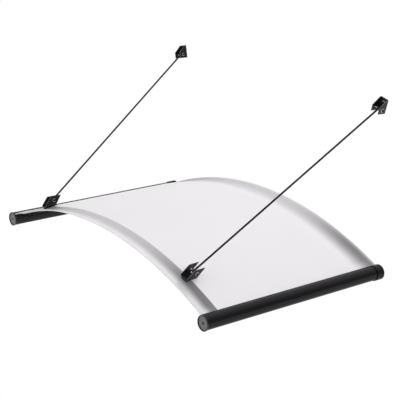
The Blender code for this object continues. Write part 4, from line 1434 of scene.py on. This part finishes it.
def rays(tree, *kinds):
    """1 for rays of the given kinds, as a Light Path names them, and 0 for the rest."""
    path = add(tree, "ShaderNodeLightPath").outputs
    chosen = path[kinds[0]]
    for kind in kinds[1:]:
        either = {0: chosen, 1: path[kind]}
        chosen = add(tree, "ShaderNodeMath", either, operation="MAXIMUM").outputs[0]
    return chosen


def white_floor(settings):
    """A large pale floor that shows as white, with a share of its own shading for a shadow."""
    corners = [(-FLOOR_REACH, -FLOOR_REACH), (FLOOR_REACH, -FLOOR_REACH)]
    corners += [(-x, -y) for x, y in corners]
    bm = bmesh.new()
    bm.faces.new([bm.verts.new((x, y, -settings.floor_drop)) for x, y in corners])
    floor = solid("studio_floor", bm)
    made = bpy.data.materials.new("painted_floor")
    tree = bare_tree(made)
    paint = add(tree, "ShaderNodeBsdfDiffuse", {"Color": (*settings.floor, 1.0)})
    glow = add(tree, "ShaderNodeEmission", {"Color": (1.0, 1.0, 1.0, 1.0), "Strength": 1.0})
    seen = rays(tree, "Is Camera Ray", "Is Transmission Ray", "Is Glossy Ray")
    share = add(tree, "ShaderNodeMath", {0: seen, 1: FLOOR_GLOW}, operation="MULTIPLY")
    inputs = {0: share.outputs["Value"], 1: paint.outputs["BSDF"], 2: glow.outputs["Emission"]}
    mixed = add(tree, "ShaderNodeMixShader", inputs)
    add(tree, "ShaderNodeOutputMaterial", {"Surface": mixed.outputs["Shader"]})
    floor.data.materials.append(made)


def studio_world(settings):
    """A white backdrop, mirrored as white behind the canopy and as a dim room on the camera's side."""
    world = bpy.data.worlds.new("studio")
    tree = bare_tree(world)
    way = add(tree, "ShaderNodeTexCoord").outputs["Generated"]
    towards = heading(BACKDROP_AZIMUTH, BACKDROP_ELEVATION)
    facing = add(tree, "ShaderNodeVectorMath", {0: way, 1: towards}, operation="DOT_PRODUCT")
    inputs = dict(enumerate((facing.outputs["Value"], *BACKDROP_EDGE, settings.room, 1.0)))
    backdrop = add(tree, "ShaderNodeMapRange", inputs, interpolation_type="SMOOTHSTEP").outputs[0]
    inputs = {0: rays(tree, "Is Glossy Ray"), 2: settings.ambient, 3: backdrop}
    mirrored = add(tree, "ShaderNodeMix", inputs).outputs[0]
    white = rays(tree, "Is Camera Ray", "Is Transmission Ray")
    strength = add(tree, "ShaderNodeMath", {0: mirrored, 1: white}, operation="MAXIMUM").outputs[0]
    light = add(tree, "ShaderNodeBackground", {"Strength": strength, "Color": (1.0, 1.0, 1.0, 1.0)})
    add(tree, "ShaderNodeOutputWorld", {"Surface": light.outputs["Background"]})
    bpy.context.scene.world = world


def key_light(settings):
    """One large soft light from behind on the left, which lights matt faces only."""
    data = bpy.data.lights.new("soft_key", "SUN")
    data.energy = settings.key
    data.angle = math.radians(KEY_SPREAD)
    made = bpy.data.objects.new("soft_key", data)
    made.visible_glossy = False
    bpy.context.scene.collection.objects.link(made)
    made.rotation_euler = heading(KEY_AZIMUTH, KEY_ELEVATION).to_track_quat("Z", "Y").to_euler()


def camera():
    """The photograph's view: a short telephoto from the front right, a little above."""
    azimuth, elevation, roll = (math.radians(angle) for angle in CAMERA_TURN)
    level = Vector((-math.sin(azimuth), math.cos(azimuth), 0))
    forward = level * math.cos(elevation) - Vector((0, 0, math.sin(elevation)))
    right = Vector((math.cos(azimuth), math.sin(azimuth), 0))
    up = right.cross(forward)
    turned_right = math.cos(roll) * right + math.sin(roll) * up
    turned_up = math.cos(roll) * up - math.sin(roll) * right
    data = bpy.data.cameras.new("photo_camera")
    data.sensor_width = 36.0
    data.lens = CAMERA_LENS
    data.clip_end = 200.0
    made = bpy.data.objects.new("photo_camera", data)
    bpy.context.scene.collection.objects.link(made)
    placed = Matrix((turned_right, turned_up, -forward)).transposed().to_4x4()
    placed.translation = CAMERA_PLACE
    made.matrix_world = placed
    bpy.context.scene.camera = made


SETTINGS = {
    "canopy_sheet": CanopySheetSettings,
    "canopy_tubes": CanopyTubeSettings,
    "canopy_caps": CanopyCapSettings,
    "canopy_brackets": CanopyBracketSettings,
    "canopy_fasteners": CanopyFastenerSettings,
    "canopy_rods": CanopyRodSettings,
    "canopy_stage": CanopyStageSettings,
}
OPERATORS = (
    CANOPY_OT_finishes,
    CANOPY_OT_sheet,
    CANOPY_OT_tubes,
    CANOPY_OT_caps,
    CANOPY_OT_brackets,
    CANOPY_OT_fixings,
    CANOPY_OT_rods,
    CANOPY_OT_stage,
)


class CANOPY_PT_panel(bpy.types.Panel):
    """The canopy's pieces, in the order in which they are built"""

    bl_idname = "CANOPY_PT_panel"
    bl_label = "Door canopy"
    bl_space_type = "VIEW_3D"
    bl_region_type = "UI"
    bl_category = "Canopy"

    def draw(self, context):
        for name, group in SETTINGS.items():
            box = self.layout.box()
            for prop in group.__annotations__:
                box.prop(getattr(context.scene, name), prop)
        for operator in OPERATORS:
            self.layout.operator(operator.bl_idname)


def register():
    for made in (*SETTINGS.values(), *OPERATORS, CANOPY_PT_panel):
        bpy.utils.register_class(made)
    for name, group in SETTINGS.items():
        setattr(bpy.types.Scene, name, PointerProperty(type=group))


def unregister():
    for name in SETTINGS:
        delattr(bpy.types.Scene, name)
    for made in (CANOPY_PT_panel, *OPERATORS, *reversed(SETTINGS.values())):
        bpy.utils.unregister_class(made)


def main():
    register()
    bpy.ops.canopy.finishes()
    bpy.ops.canopy.sheet()
    bpy.ops.canopy.tubes()
    bpy.ops.canopy.caps()
    bpy.ops.canopy.brackets()
    bpy.ops.canopy.fixings()
    bpy.ops.canopy.rods()
    bpy.ops.canopy.stage()


if __name__ == "__main__":
    main()
